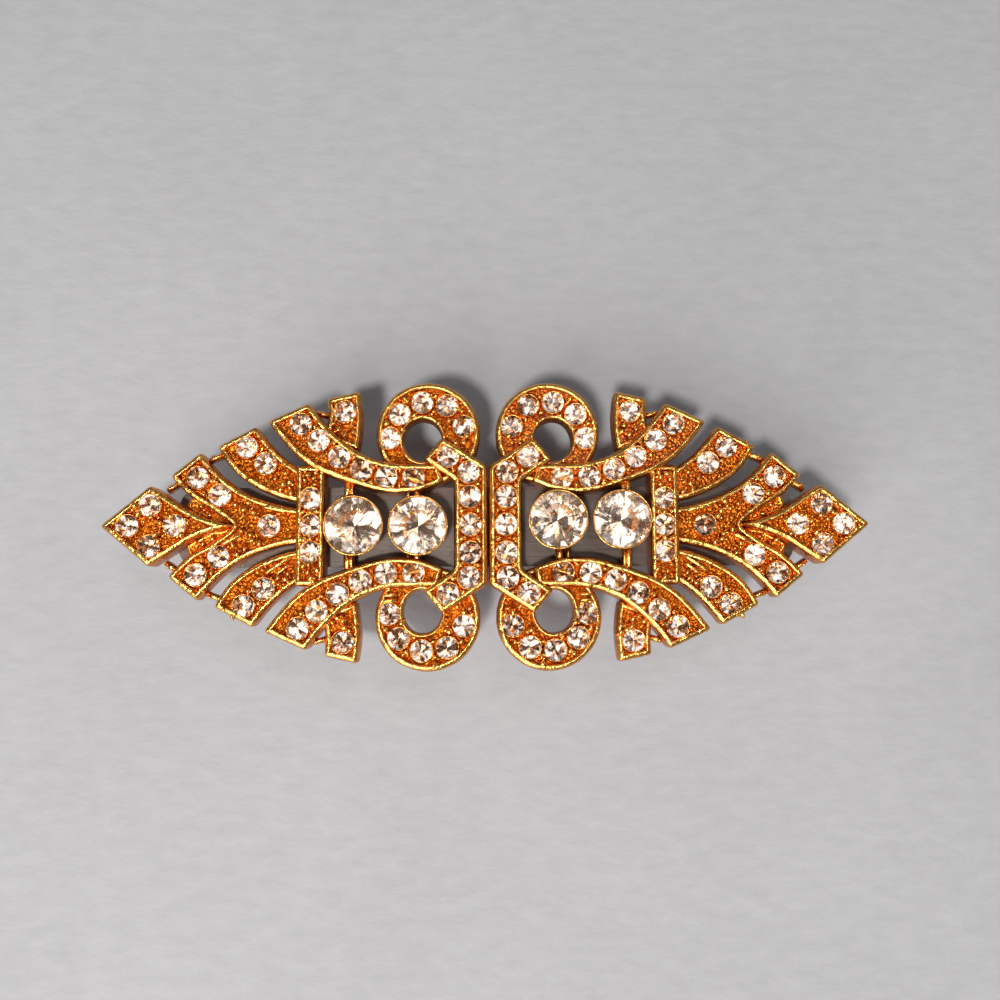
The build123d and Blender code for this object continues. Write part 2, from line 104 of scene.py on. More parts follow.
class Shader:
    """A node material while it is being put together."""

    def __init__(self, name: str) -> None:
        """Starts an empty node material.

        Args:
            name: the material's name.
        """
        self.material = bpy.data.materials.new(name)
        self.material.use_nodes = True
        self.tree = self.material.node_tree
        self.tree.nodes.clear()

    def node(self, kind: str, settings: dict[str, Any], inputs: dict[Any, Any], output: Any = 0) -> Wire:
        """Adds a node.

        Args:
            kind: the node's type.
            settings: its properties, set first; "stops" gives a ramp's positions and colours.
            inputs: a value or a Wire for each named or numbered socket.
            output: the name or number of the output wanted.

        Returns:
            The wanted output.
        """
        made = self.tree.nodes.new(kind)
        for key, value in settings.items():
            if key == "stops":
                self._stops(made.color_ramp, value)
            else:
                setattr(made, key, value)
        for key, value in inputs.items():
            self.feed(made.inputs[key], value)
        return Wire(self, made.outputs[output]) if made.outputs else Wire(self, made.inputs[0])

    def feed(self, socket: bpy.types.NodeSocket, value: Any) -> None:
        """Links a Wire to a socket or sets a plain value on it.

        Args:
            socket: the input socket.
            value: a Wire, a number or a colour.
        """
        if isinstance(value, Wire):
            self.tree.links.new(value.socket, socket)
        elif socket.type == "RGBA" and len(value) == 3:
            socket.default_value = (*value, 1.0)
        else:
            socket.default_value = value

    @staticmethod
    def _stops(ramp: bpy.types.ColorRamp, stops: Sequence[tuple[float, Colour]]) -> None:
        """Sets a ramp's stops.

        Args:
            ramp: the ramp.
            stops: position and colour of each stop.
        """
        while len(ramp.elements) < len(stops):
            ramp.elements.new(1.0)
        for element, (position, colour) in zip(ramp.elements, stops):
            element.position = position
            element.color = (*colour, 1.0)

    def place(self) -> Wire:
        """The point on the object, in metres of the object's frame."""
        return self.node("ShaderNodeTexCoord", {}, {}, "Object")

    def stretched(self, scale: Triple) -> Wire:
        """The point on the object, multiplied axis by axis."""
        return self.node("ShaderNodeMapping", {}, {"Vector": self.place(), "Scale": scale}, "Vector")

    def grain(self, point: Wire, scale: float, detail: float = 3.0, rough: float = 0.55) -> Wire:
        """Fractal noise from 0 to 1, with scale cells in a unit of the point and detail octaves."""
        inputs = {"Vector": point, "Scale": scale, "Detail": detail, "Roughness": rough}
        return self.node("ShaderNodeTexNoise", {}, inputs, 0)

    def cells(self, scale: float, output: str) -> Wire:
        """The distance in Voronoi cells, or each cell's own colour."""
        return self.node("ShaderNodeTexVoronoi", {}, {"Vector": self.place(), "Scale": scale}, output)

    def ramp(self, value: Wire, low: float, high: float) -> Wire:
        """The value stretched so that low gives 0 and high gives 1, with both ends held."""
        return self.node("ShaderNodeMapRange", {}, {0: value, 1: low, 2: high, 3: 0.0, 4: 1.0})

    def blend(self, factor: Wire, first: Any, second: Any) -> Wire:
        """A colour between two colours: a factor of 0 gives the first and 1 the second."""
        return self.node("ShaderNodeMix", {"data_type": "RGBA"}, {0: factor, 6: first, 7: second}, 2)

    def bump(self, height: Wire, depth: float, strength: float) -> Wire:
        """A normal bent by a height from 0 to 1, where 1 stands for depth in metres."""
        return self.node("ShaderNodeBump", {}, {"Height": height, "Distance": depth, "Strength": strength})

    def attribute(self, name: str) -> Wire:
        """A number stored on the mesh under a name."""
        return self.node("ShaderNodeAttribute", {"attribute_name": name}, {}, "Fac")

    def finish(self, inputs: dict[str, Any]) -> bpy.types.Material:
        """Ends the material in one Principled surface.

        Args:
            inputs: the surface's sockets.

        Returns:
            The finished material.
        """
        surface = self.node("ShaderNodeBsdfPrincipled", {}, inputs, "BSDF")
        self.node("ShaderNodeOutputMaterial", {}, {"Surface": surface})
        return self.material


# ---------------------------------------------------------------- finishes
@dataclass(frozen=True)
class Gilt:
    """Bright gold plating on a casting: smoother on the crests and rougher in the recesses, with the crests
    painted lighter as a highlight and the recesses painted darker as shade.
    """

    name: str = "gilt_plating"
    # The crest colour is the gold painted lighter as a highlight, the body colour is the gold itself, and the
    # recess colour is the gold painted darker as shade.
    crest: Colour = (1.0, 0.53, 0.13)
    body: Colour = (0.95, 0.36, 0.032)
    recess: Colour = (0.56, 0.14, 0.008)
    crest_roughness: float = 0.19
    recess_roughness: float = 0.30
    cast_cell: float = 2600.0
    pebble_cell: float = 3600.0
    ripple_cell: float = 700.0
    cloud_cell: float = 420.0
    coat: float = 0.12
    relief: float = 0.00019

    def material(self) -> bpy.types.Material:
        """Builds the plating from the mesh's polish value, which also places the painted highlight and
        painted shade, and cast texture.

        Returns:
            The material.
        """
        s = Shader(self.name)
        polish = s.attribute("polish")
        cloud = s.grain(s.place(), self.cloud_cell, 4.0)
        cast = s.grain(s.place(), self.cast_cell, 4.0, 0.6)
        ripple = s.grain(s.place(), self.ripple_cell, 2.0)
        # Painted highlight: high, polished parts are blended toward the lighter crest colour.
        worn_and_highlit = s.ramp(polish + (cloud - 0.5) * 0.4, 0.35, 0.85)
        warm = s.blend(worn_and_highlit, self.body, self.crest)
        # Painted shade: floors, walls and other low parts are blended toward the darker recess colour.
        deep = s.ramp(polish + (cast - 0.5) * 0.9, 0.0, 0.42)
        colour = s.blend(deep, self.recess, warm)
        rough = s.ramp(worn_and_highlit, 0.0, 1.0) * (self.crest_roughness - self.recess_roughness)
        rough = rough + self.recess_roughness + (cloud - 0.5) * 0.16
        pebble = s.cells(self.pebble_cell, "Distance")
        rugged = s.ramp(polish, 0.6, 0.15)
        height = cast * 0.55 + ripple * 1.0 - pebble * rugged * 1.1
        return s.finish(
            {
                "Base Color": colour,
                "Metallic": 1.0,
                "Roughness": rough,
                "Coat Weight": self.coat,
                "Coat Roughness": 0.12,
                "Normal": s.bump(height, self.relief, 1.0),
            }
        )


@dataclass(frozen=True)
class Crystal:
    """Clear cut glass with faint handling marks."""

    name: str = "cut_crystal"
    tint: Colour = (1.0, 0.985, 0.975)
    index: float = 1.56
    smear_cell: float = 900.0
    mark_cell: float = 1800.0
    relief: float = 0.000004

    def material(self) -> bpy.types.Material:
        """Builds the glass.

        Returns:
            The material.
        """
        s = Shader(self.name)
        smear = s.grain(s.place(), self.smear_cell, 2.0)
        marks = s.grain(s.stretched((1.0, 6.0, 1.0)), self.mark_cell)
        rough = s.ramp(smear, 0.45, 0.8) * 0.05 + 0.008
        return s.finish(
            {
                "Base Color": self.tint,
                "Roughness": rough,
                "IOR": self.index,
                "Transmission Weight": 1.0,
                "Normal": s.bump(marks, self.relief, 0.25),
            }
        )


@dataclass(frozen=True)
class Foil:
    """The mirror backing under a stone, with painted reflections that differ from facet to facet and painted
    glints that glow in blobs.
    """

    name: str = "stone_foil"
    # The bright and dark colours are painted reflections that differ from facet to facet, the warm colour is
    # a painted reflection of the gold setting, and the glint colour is a painted glint that glows.
    bright: Colour = (0.92, 0.75, 0.64)
    dark: Colour = (0.42, 0.20, 0.075)
    warm: Colour = (0.96, 0.63, 0.28)
    glint: Colour = (0.80, 0.77, 0.75)
    glint_from: float = 0.60
    chip_cell: float = 2100.0
    patch_cell: float = 1500.0
    relief: float = 0.00002

    def material(self) -> bpy.types.Material:
        """Builds the backing from the mesh's facet value.

        Returns:
            The material.
        """
        s = Shader(self.name)
        facet = s.attribute("facet")
        patch = s.grain(s.place(), self.patch_cell)
        glint_blob = s.node("ShaderNodeSeparateColor", {}, {0: s.cells(self.chip_cell, "Color")}, 0)
        mixed = facet * 0.45 + glint_blob * 0.55
        # Painted reflections: each facet and blob is painted lighter or darker.
        shade = s.ramp(mixed + (patch - 0.5) * 0.4, 0.15, 0.62)
        tone = s.blend(shade, self.dark, self.bright)
        # Painted reflection of the gold setting on the facets with the highest values.
        colour = s.blend(s.ramp(facet, 0.86, 0.96), tone, self.warm)
        # Painted glints: the brightest facets and blobs glow in the glint colour, though nothing there is a
        # lamp.
        flash = s.ramp(mixed, self.glint_from, self.glint_from + 0.06)
        return s.finish(
            {
                "Base Color": colour,
                "Metallic": 1.0,
                "Roughness": patch * 0.16 + 0.04,
                "Emission Color": s.blend(flash, (0.0, 0.0, 0.0), self.glint),
                "Emission Strength": 1.0,
                "Normal": s.bump(patch, self.relief, 0.4),
            }
        )


@dataclass(frozen=True)
class Steel:
    """Rolled sheet steel with drawn lines, light handling scratches and dull patches."""

    name: str
    tone: Colour
    shade: Colour
    roughness: float
    along: Triple = (60.0, 2600.0, 2600.0)
    patch_cell: float = 160.0
    pit_cell: float = 1400.0
    relief: float = 0.000025

    def material(self) -> bpy.types.Material:
        """Builds the steel.

        Returns:
            The material.
        """
        s = Shader(self.name)
        lines = s.grain(s.stretched(self.along), 1.0, 4.0, 0.65)
        patch = s.grain(s.place(), self.patch_cell, 4.0)
        pits = s.ramp(s.grain(s.place(), self.pit_cell, 2.0), 0.62, 0.8)
        colour = s.blend(s.ramp(patch + (lines - 0.5) * 0.5, 0.3, 0.75), self.shade, self.tone)
        rough = lines * 0.22 + patch * 0.14 + (self.roughness - 0.18) + pits * 0.2
        return s.finish(
            {
                "Base Color": colour,
                "Metallic": 1.0,
                "Roughness": rough,
                "Normal": s.bump(lines - pits * 0.6, self.relief, 0.8),
            }
        )


@dataclass(frozen=True)
class Paper:
    """Pale grey drawing paper with short fibres lying mostly one way."""

    name: str = "grey_paper"
    light: Colour = (0.455, 0.452, 0.461)
    dark: Colour = (0.393, 0.390, 0.400)
    along: Triple = (330.0, 720.0, 720.0)
    tooth_cell: float = 1900.0
    mottle_cell: float = 34.0
    relief: float = 0.00018

    def material(self) -> bpy.types.Material:
        """Builds the paper.

        Returns:
            The material.
        """
        s = Shader(self.name)
        fibre = s.grain(s.stretched(self.along), 1.0, 4.0, 0.6)
        tooth = s.grain(s.place(), self.tooth_cell)
        mottle = s.grain(s.place(), self.mottle_cell)
        tone = s.ramp(fibre * 0.6 + mottle * 0.4, 0.32, 0.68)
        return s.finish(
            {
                "Base Color": s.blend(tone, self.dark, self.light),
                "Roughness": tooth * 0.15 + 0.78,
                "Normal": s.bump(fibre + tooth * 0.35, self.relief, 0.42),
            }
        )


# ---------------------------------------------------------------- plan geometry
class Half(Enum):
    """The two castings, by the sign of x."""

    RIGHT = 1
    LEFT = -1

    @property
    def label(self) -> str:
        """The start of the names of its pieces."""
        return self.name.lower()


class Fold(Enum):
    """Above or below the long axis, by the sign of y."""

    UPPER = 1
    LOWER = -1

    @property
    def label(self) -> str:
        """The middle of the names of its pieces."""
        return self.name.lower()


def smooth(points: Sequence[Point], closed: bool = False) -> list[Point]:
    """Samples a natural cubic spline through points.

    Args:
        points: points in the plan, in mm.
        closed: whether the last point repeats the first.

    Returns:
        Points about SPACING apart.
    """
    p = np.array(points, float)
    steps = np.hypot(*np.diff(p, axis=0).T)
    t = np.concatenate([[0.0], np.cumsum(steps)])
    n = len(p)
    system = np.eye(n)
    right = np.zeros((n, 2))
    for i in range(1, n - 1):
        system[i, i - 1 : i + 2] = steps[i - 1], 2 * (steps[i - 1] + steps[i]), steps[i]
        right[i] = 6 * ((p[i + 1] - p[i]) / steps[i] - (p[i] - p[i - 1]) / steps[i - 1])
    bend = np.linalg.solve(system, right)
    out = []
    for u in np.linspace(0, t[-1], max(2, int(t[-1] / SPACING) + 1)):
        i = min(int(np.searchsorted(t, u, "right")) - 1, n - 2)
        h, a, b = steps[i], t[i + 1] - u, u - t[i]
        value = (bend[i] * a**3 + bend[i + 1] * b**3) / (6 * h)
        value += (p[i] / h - bend[i] * h / 6) * a + (p[i + 1] / h - bend[i + 1] * h / 6) * b
        out.append((float(value[0]), float(value[1])))
    return out


def ring(centre: Point, radius: float, squash: float = 1.0) -> list[Point]:
    """A closed circle or upright oval.

    Args:
        centre: its middle, in mm.
        radius: its radius along x, in mm.
        squash: its radius along y as a share of the other.

    Returns:
        Points about SPACING apart, anticlockwise.
    """
    count = int(math.tau * radius / SPACING)
    turns = (math.tau * i / count for i in range(count))
    return [(centre[0] + radius * math.cos(a), centre[1] + radius * squash * math.sin(a)) for a in turns]


def joined(*runs: Sequence[Point]) -> list[Point]:
    """Closes runs of points into one outline, with straight gaps sampled.

    Args:
        runs: points in order, in mm.

    Returns:
        The outline's points, none repeated.
    """
    corners = [p for run in runs for p in run]
    out: list[Point] = []
    for (x1, y1), (x2, y2) in zip(corners, corners[1:] + corners[:1]):
        gap = math.hypot(x2 - x1, y2 - y1)
        if gap < 1e-6:
            continue
        parts = max(1, round(gap / SPACING))
        out += [(x1 + (x2 - x1) * k / parts, y1 + (y2 - y1) * k / parts) for k in range(parts)]
    return out


def right_of(points: Sequence[Point], x_low: float) -> list[Point]:
    """The part of an outline beyond an upright line.

    Args:
        points: a closed outline, in mm.
        x_low: where the line stands.

    Returns:
        The outline's points at or beyond the line, with its crossings.
    """
    out: list[Point] = []
    for (x1, y1), (x2, y2) in zip(points, list(points[1:]) + [points[0]]):
        if x1 >= x_low:
            out.append((x1, y1))
        if (x1 >= x_low) != (x2 >= x_low):
            share = (x_low - x1) / (x2 - x1)
            out.append((x_low, y1 + share * (y2 - y1)))
    return joined(out)


def softened(points: Sequence[Point], passes: int) -> list[Point]:
    """Rounds an outline's corners a little, as a casting's are.

    Args:
        points: a closed outline.
        passes: times each point moves to the mean of its neighbours and itself.

    Returns:
        The rounded outline.
    """
    p = np.array(points, float)
    for _ in range(passes):
        p = p * 0.5 + (np.roll(p, 1, 0) + np.roll(p, -1, 0)) * 0.25
    return [(float(x), float(y)) for x, y in p]


def signed_area(points: Sequence[Point]) -> float:
    """Twice the area of an outline, positive when it runs anticlockwise."""
    return sum(x1 * y2 - x2 * y1 for (x1, y1), (x2, y2) in zip(points, list(points[1:]) + [points[0]]))


def inside(point: Point, outline: Sequence[Point]) -> bool:
    """Whether a point lies inside an outline.

    Args:
        point: the point tested.
        outline: a closed outline.

    Returns:
        True when it is inside.
    """
    x, y = point
    crossings = 0
    for (x1, y1), (x2, y2) in zip(outline, list(outline[1:]) + [outline[0]]):
        if (y1 > y) != (y2 > y) and x < x1 + (x2 - x1) * (y - y1) / (y2 - y1):
            crossings += 1
    return crossings % 2 == 1


def placed(points: Iterable[Point], half: Half, fold: Fold) -> list[Point]:
    """Points of the upper right quarter mirrored into another quarter, in their old order."""
    return [(x * half.value, y * fold.value) for x, y in points]


def skin(rings: int, sides: int, turned: bool) -> list[tuple[int, ...]]:
    """The quads between closed rings of vertices.

    Args:
        rings: how many rings there are, stored one after another.
        sides: vertices in each ring.
        turned: whether the quads are turned over, for rings that start on the inside.

    Returns:
        The corners of each quad.
    """
    out: list[tuple[int, ...]] = []
    for here in range((rings - 1) * sides):
        along = here // sides * sides + (here + 1) % sides
        up, across = here + sides, along + sides
        out.append((here, up, across, along) if turned else (here, along, across, up))
    return out


# ---------------------------------------------------------------- mesh kit
@dataclass
class MeshParts:
    """Vertices and faces in mm, gathered before they become one object."""

    vertices: list[Triple] = field(default_factory=list)
    faces: list[tuple[int, ...]] = field(default_factory=list)
    polish: list[float] = field(default_factory=list)
    slots: list[int] = field(default_factory=list)
    facets: list[float] = field(default_factory=list)
    flat: list[bool] = field(default_factory=list)

    def add(
        self,
        vertices: Sequence[Sequence[float]],
        faces: Sequence[Sequence[int]],
        polish: Union[float, Sequence[float]] = 0.6,
        slot: int = 0,
        facets: Union[float, Sequence[float]] = 0.5,
        flat: bool = False,
    ) -> None:
        """Adds one shell.

        Args:
            vertices: points in mm.
            faces: corners of each face, counted from this shell's first vertex.
            polish: how polished each vertex is, which also paints it lighter as a highlight or darker as
                shade, one number or one each.
            slot: the material slot of its faces.
            facets: the facet value of its faces, one number or one each.
            flat: whether its faces are shaded flat.
        """
        base = len(self.vertices)
        self.vertices += [tuple(float(c) for c in v) for v in vertices]
        self.faces += [tuple(base + i for i in f) for f in faces]
        self.polish += [polish] * len(vertices) if isinstance(polish, (int, float)) else list(polish)
        self.facets += [facets] * len(faces) if isinstance(facets, (int, float)) else list(facets)
        self.slots += [slot] * len(faces)
        self.flat += [flat] * len(faces)

    def build(self, name: str, materials: Sequence[bpy.types.Material]) -> bpy.types.Object:
        """Makes the object.

        Args:
            name: the object's name.
            materials: its material slots in order.

        Returns:
            The object, linked to the scene, in metres.
        """
        mesh = bpy.data.meshes.new(name)
        mesh.from_pydata([tuple(c * MM for c in v) for v in self.vertices], [], self.faces)
        for material in materials:
            mesh.materials.append(material)
        mesh.polygons.foreach_set("material_index", self.slots)
        mesh.polygons.foreach_set("use_smooth", [not f for f in self.flat])
        mesh.attributes.new("polish", "FLOAT", "POINT").data.foreach_set("value", self.polish)
        mesh.attributes.new("facet", "FLOAT", "FACE").data.foreach_set("value", self.facets)
        mesh.update()
        made = bpy.data.objects.new(name, mesh)
        bpy.context.scene.collection.objects.link(made)
        return made


class Inset:
    """Moves closed outlines inward without letting them cross their own middle line."""

    SLACK = 0.96  # share of its travel that a point must keep clear of every outline
    HALVINGS = 9  # steps in the search for where a point meets the middle line
    MITRE = 0.35  # least cosine of half a corner's turn, which limits its mitre

    def __init__(self, loops: Sequence[Sequence[Point]]) -> None:
        """Sets up the outlines.

        Args:
            loops: the outer outline anticlockwise, then the holes clockwise, in mm.
        """
        self.loops = [np.array(loop, float) for loop in loops]
        self.starts = np.concatenate(self.loops)
        self.ends = np.concatenate([np.roll(loop, -1, 0) for loop in self.loops])
        paces = [1.0] + [HOLE_PACE] * (len(self.loops) - 1)
        self.pace = np.concatenate([np.full(len(loop), pace) for loop, pace in zip(self.loops, paces)])
        self.ways = np.concatenate([self._ways(loop) for loop in self.loops]) * self.pace[:, None]
        self.stop = np.full(len(self.starts), np.inf)
        self.reached = 0.0

    @classmethod
    def _ways(cls, loop: np.ndarray) -> np.ndarray:
        """The mitred inward direction at each point of one outline.

        Args:
            loop: the outline's points.

        Returns:
            One vector a point, as long as its mitre.
        """
        before = loop - np.roll(loop, 1, 0)
        after = np.roll(loop, -1, 0) - loop
        sides = [np.stack([-e[:, 1], e[:, 0]], 1) / np.hypot(*e.T)[:, None] for e in (before, after)]
        middle = sides[0] + sides[1]
        middle /= np.maximum(np.hypot(*middle.T), 1e-6)[:, None]
        lean = np.clip((middle * sides[0]).sum(1), cls.MITRE, 1.0)
        return middle / lean[:, None]

    def _clear(self, at: np.ndarray) -> np.ndarray:
        """The distance from each point to the nearest outline.

        Args:
            at: points to test.

        Returns:
            One distance each.
        """
        run = self.ends - self.starts
        length = np.maximum((run**2).sum(1), 1e-12)
        offset = at[:, None, :] - self.starts[None]
        share = np.clip((offset * run[None]).sum(2) / length[None], 0, 1)
        return np.sqrt(((offset - share[..., None] * run[None]) ** 2).sum(2)).min(1)

    def travel(self, depth: float) -> np.ndarray:
        """How far each point really goes for an inset depth.

        Args:
            depth: the inset wanted, never less than in the last call.

        Returns:
            The depth, or less for points that met the middle line.
        """
        free = np.isinf(self.stop)
        moved = self.starts + self.ways * depth
        crossed = free & (self._clear(moved) < depth * self.pace * self.SLACK)
        if crossed.any():
            low = np.full(len(self.starts), self.reached)
            high = np.full(len(self.starts), depth)
            for _ in range(self.HALVINGS):
                middle = (low + high) / 2
                clear = self._clear(self.starts + self.ways * middle[:, None])
                good = clear >= middle * self.pace * self.SLACK
                low, high = np.where(good, middle, low), np.where(good, high, middle)
            self.stop[crossed] = low[crossed]
        self.reached = depth
        return np.minimum(depth, self.stop)

    def at(self, depth: float) -> tuple[np.ndarray, np.ndarray]:
        """The outlines' points at an inset depth, and how far each one went."""
        gone = self.travel(depth)
        return self.starts + self.ways * gone[:, None], gone


@dataclass(frozen=True)
class RimShape:
    """The section of a raised rim, from its outer wall over the crest to the floor inside.

    drop is the floor's depth below the crest and floor is its polish value, low so that the floor is painted
    with recess shade. A section entry is the inset, the height above the crest and the polish value, which
    paints the crest lighter as a highlight and the walls darker as shade.
    """

    drop: float = 0.42
    floor: float = 0.10
    section: tuple[Triple, ...] = (
        (0.0, -0.70, 0.12),
        (0.02, -0.45, 0.24),
        (0.07, -0.28, 0.42),
        (0.14, -0.16, 0.65),
        (0.23, -0.075, 0.92),
        (0.33, -0.025, 1.0),
        (0.43, 0.0, 1.0),
        (0.52, -0.03, 0.95),
        (0.58, -0.12, 0.6),
        (0.63, -0.30, 0.2),
        (0.66, -0.53, 0.06),
    )

    def levels(self, height: float) -> list[Triple]:
        """The inset, height above the back and polish value of each ring of a rim, from the back up and over;
        the polish value also sets each ring's painted highlight or shade.
        """
        rings = [(inset, height + fall, shine) for inset, fall, shine in self.section]
        return [(BACK_INSET, 0.0, 0.05), (0.0, BACK_INSET, 0.05)] + rings


WEB_RIM = RimShape(
    0.12,
    0.25,
    (
        (0.0, -0.50, 0.10),
        (0.06, -0.22, 0.30),
        (0.20, -0.05, 0.50),
        (0.34, 0.0, 0.55),
        (0.50, -0.06, 0.40),
        (0.60, -0.14, 0.25),
    ),
)


@dataclass
class Ribbon:
    """One cast ribbon: a band with a raised, rounded rim round a sunk floor."""

    name: str
    outline: list[Point]
    height: float
    stones: tuple[str, ...] = ()
    holes: list[list[Point]] = field(default_factory=list)
    rim: RimShape = field(default_factory=RimShape)
    passes: int = 2
    waviness: float = 0.056
    dip: float = 0.09
    seed: float = 0.0
    seats: list[Point] = field(default_factory=list)
    seat_radius: float = 1.12

    def loops(self) -> list[list[Point]]:
        """The outlines turned the right way, rounded and made slightly uneven.

        Returns:
            The outer outline, then the holes.
        """
        out = []
        for index, loop in enumerate([self.outline, *self.holes]):
            wanted = 1 if index == 0 else -1
            turned = loop if signed_area(loop) * wanted > 0 else list(reversed(loop))
            out.append(self._wavy(softened(turned, self.passes)))
        return out

    def _wavy(self, loop: list[Point]) -> list[Point]:
        """Moves each point a little way into the metal.

        Args:
            loop: a closed outline with the metal on its left.

        Returns:
            The uneven outline.
        """
        p = np.array(loop, float)
        run = np.roll(p, -1, 0) - np.roll(p, 1, 0)
        inward = np.stack([-run[:, 1], run[:, 0]], 1) / np.maximum(np.hypot(*run.T), 1e-9)[:, None]
        push = [abs(noise.noise((x * 0.9, y * 0.9, self.seed))) * self.waviness for x, y in p]
        moved = p + inward * np.array(push)[:, None]
        return [(float(x), float(y)) for x, y in moved]

    def shell(self, back: float, parts: MeshParts) -> None:
        """Adds the rim, the floor and the back to a mesh.

        Args:
            back: the height of the casting's back, in mm.
            parts: where they are added.
        """
        loops = self.loops()
        inset = Inset(loops)
        levels = self.rim.levels(self.height)
        low, start = inset.at(levels[0][0])
        inset = Inset(loops)
        depths = np.array([d for d, _, _ in levels[1:]])
        tops = np.array([z for _, z, _ in levels[1:]])
        shines = np.array([s for _, _, s in levels[1:]])
        rings = [(low, np.full(len(low), levels[0][1]), np.full(len(low), levels[0][2]))]
        for depth, top, shine in levels[1:]:
            at, gone = inset.at(depth)
            short = gone < depth - 1e-6
            z = np.where(short, np.interp(gone, depths, tops), top)
            s = np.where(short, np.interp(gone, depths, shines), shine)
            rings.append((at, self._uneven(at, z, depth), s))
        count = len(low)
        vertices = [(*at[i], back + z[i]) for at, z, _ in rings for i in range(count)]
        polish = [float(s[i]) for _, _, s in rings for i in range(count)]
        faces = []
        for row in range(len(rings) - 1):
            first = 0
            for loop in loops:
                for i in range(len(loop)):
                    j = first + (i + 1) % len(loop)
                    a, b = row * count, (row + 1) * count
                    faces.append((a + first + i, a + j, b + j, b + first + i))
                first += len(loop)
        parts.add(vertices, faces, polish)
        floor = back + self.height - self.rim.drop
        self._sheet(loops, FLOOR_INSET, floor, 1, self.rim.floor, parts, self.seats)
        self._sheet(loops, BACK_INSET, back, -1, 0.10, parts, [])

    def _uneven(self, at: np.ndarray, z: np.ndarray, depth: float) -> np.ndarray:
        """Lowers the upper rings here and there by a few hundredths of a millimetre.

        Args:
            at: the ring's points.
            z: their heights.
            depth: the ring's inset.

        Returns:
            The uneven heights.
        """
        if depth < 0.1:
            return z
        dips = [abs(noise.noise((x * 1.3, y * 1.3, self.seed + 7.0))) * self.dip for x, y in at]
        return z - np.array(dips)

    def _sheet(
        self,
        loops: list[list[Point]],
        depth: float,
        level: float,
        way: int,
        polish: float,
        parts: MeshParts,
        seats: list[Point],
    ) -> None:
        """Adds one level face across the ribbon.

        Args:
            loops: the outlines.
            depth: how far inside them it ends.
            level: its height, in mm.
            way: 1 when it faces up and -1 when it faces down.
            polish: how polished it is, which also sets how light or dark it is painted.
            parts: where it is added.
            seats: the middles of the round openings cut through it.
        """
        at, _ = Inset(loops).at(depth)
        rings, first = [], 0
        for loop in loops:
            rings.append([Vector((*at[first + i], level)) for i in range(len(loop))])
            first += len(loop)
        rings += [[Vector((*p, level)) for p in ring(seat, self.seat_radius)] for seat in seats]
        faces = tessellate_polygon(rings)
        flat = [tuple(v) for r in rings for v in r]
        turned = []
        for a, b, c in faces:
            area = (flat[b][0] - flat[a][0]) * (flat[c][1] - flat[a][1])
            area -= (flat[c][0] - flat[a][0]) * (flat[b][1] - flat[a][1])
            if abs(area) > 1e-9:
                turned.append((a, b, c) if area * way > 0 else (a, c, b))
        parts.add(flat, turned, polish)


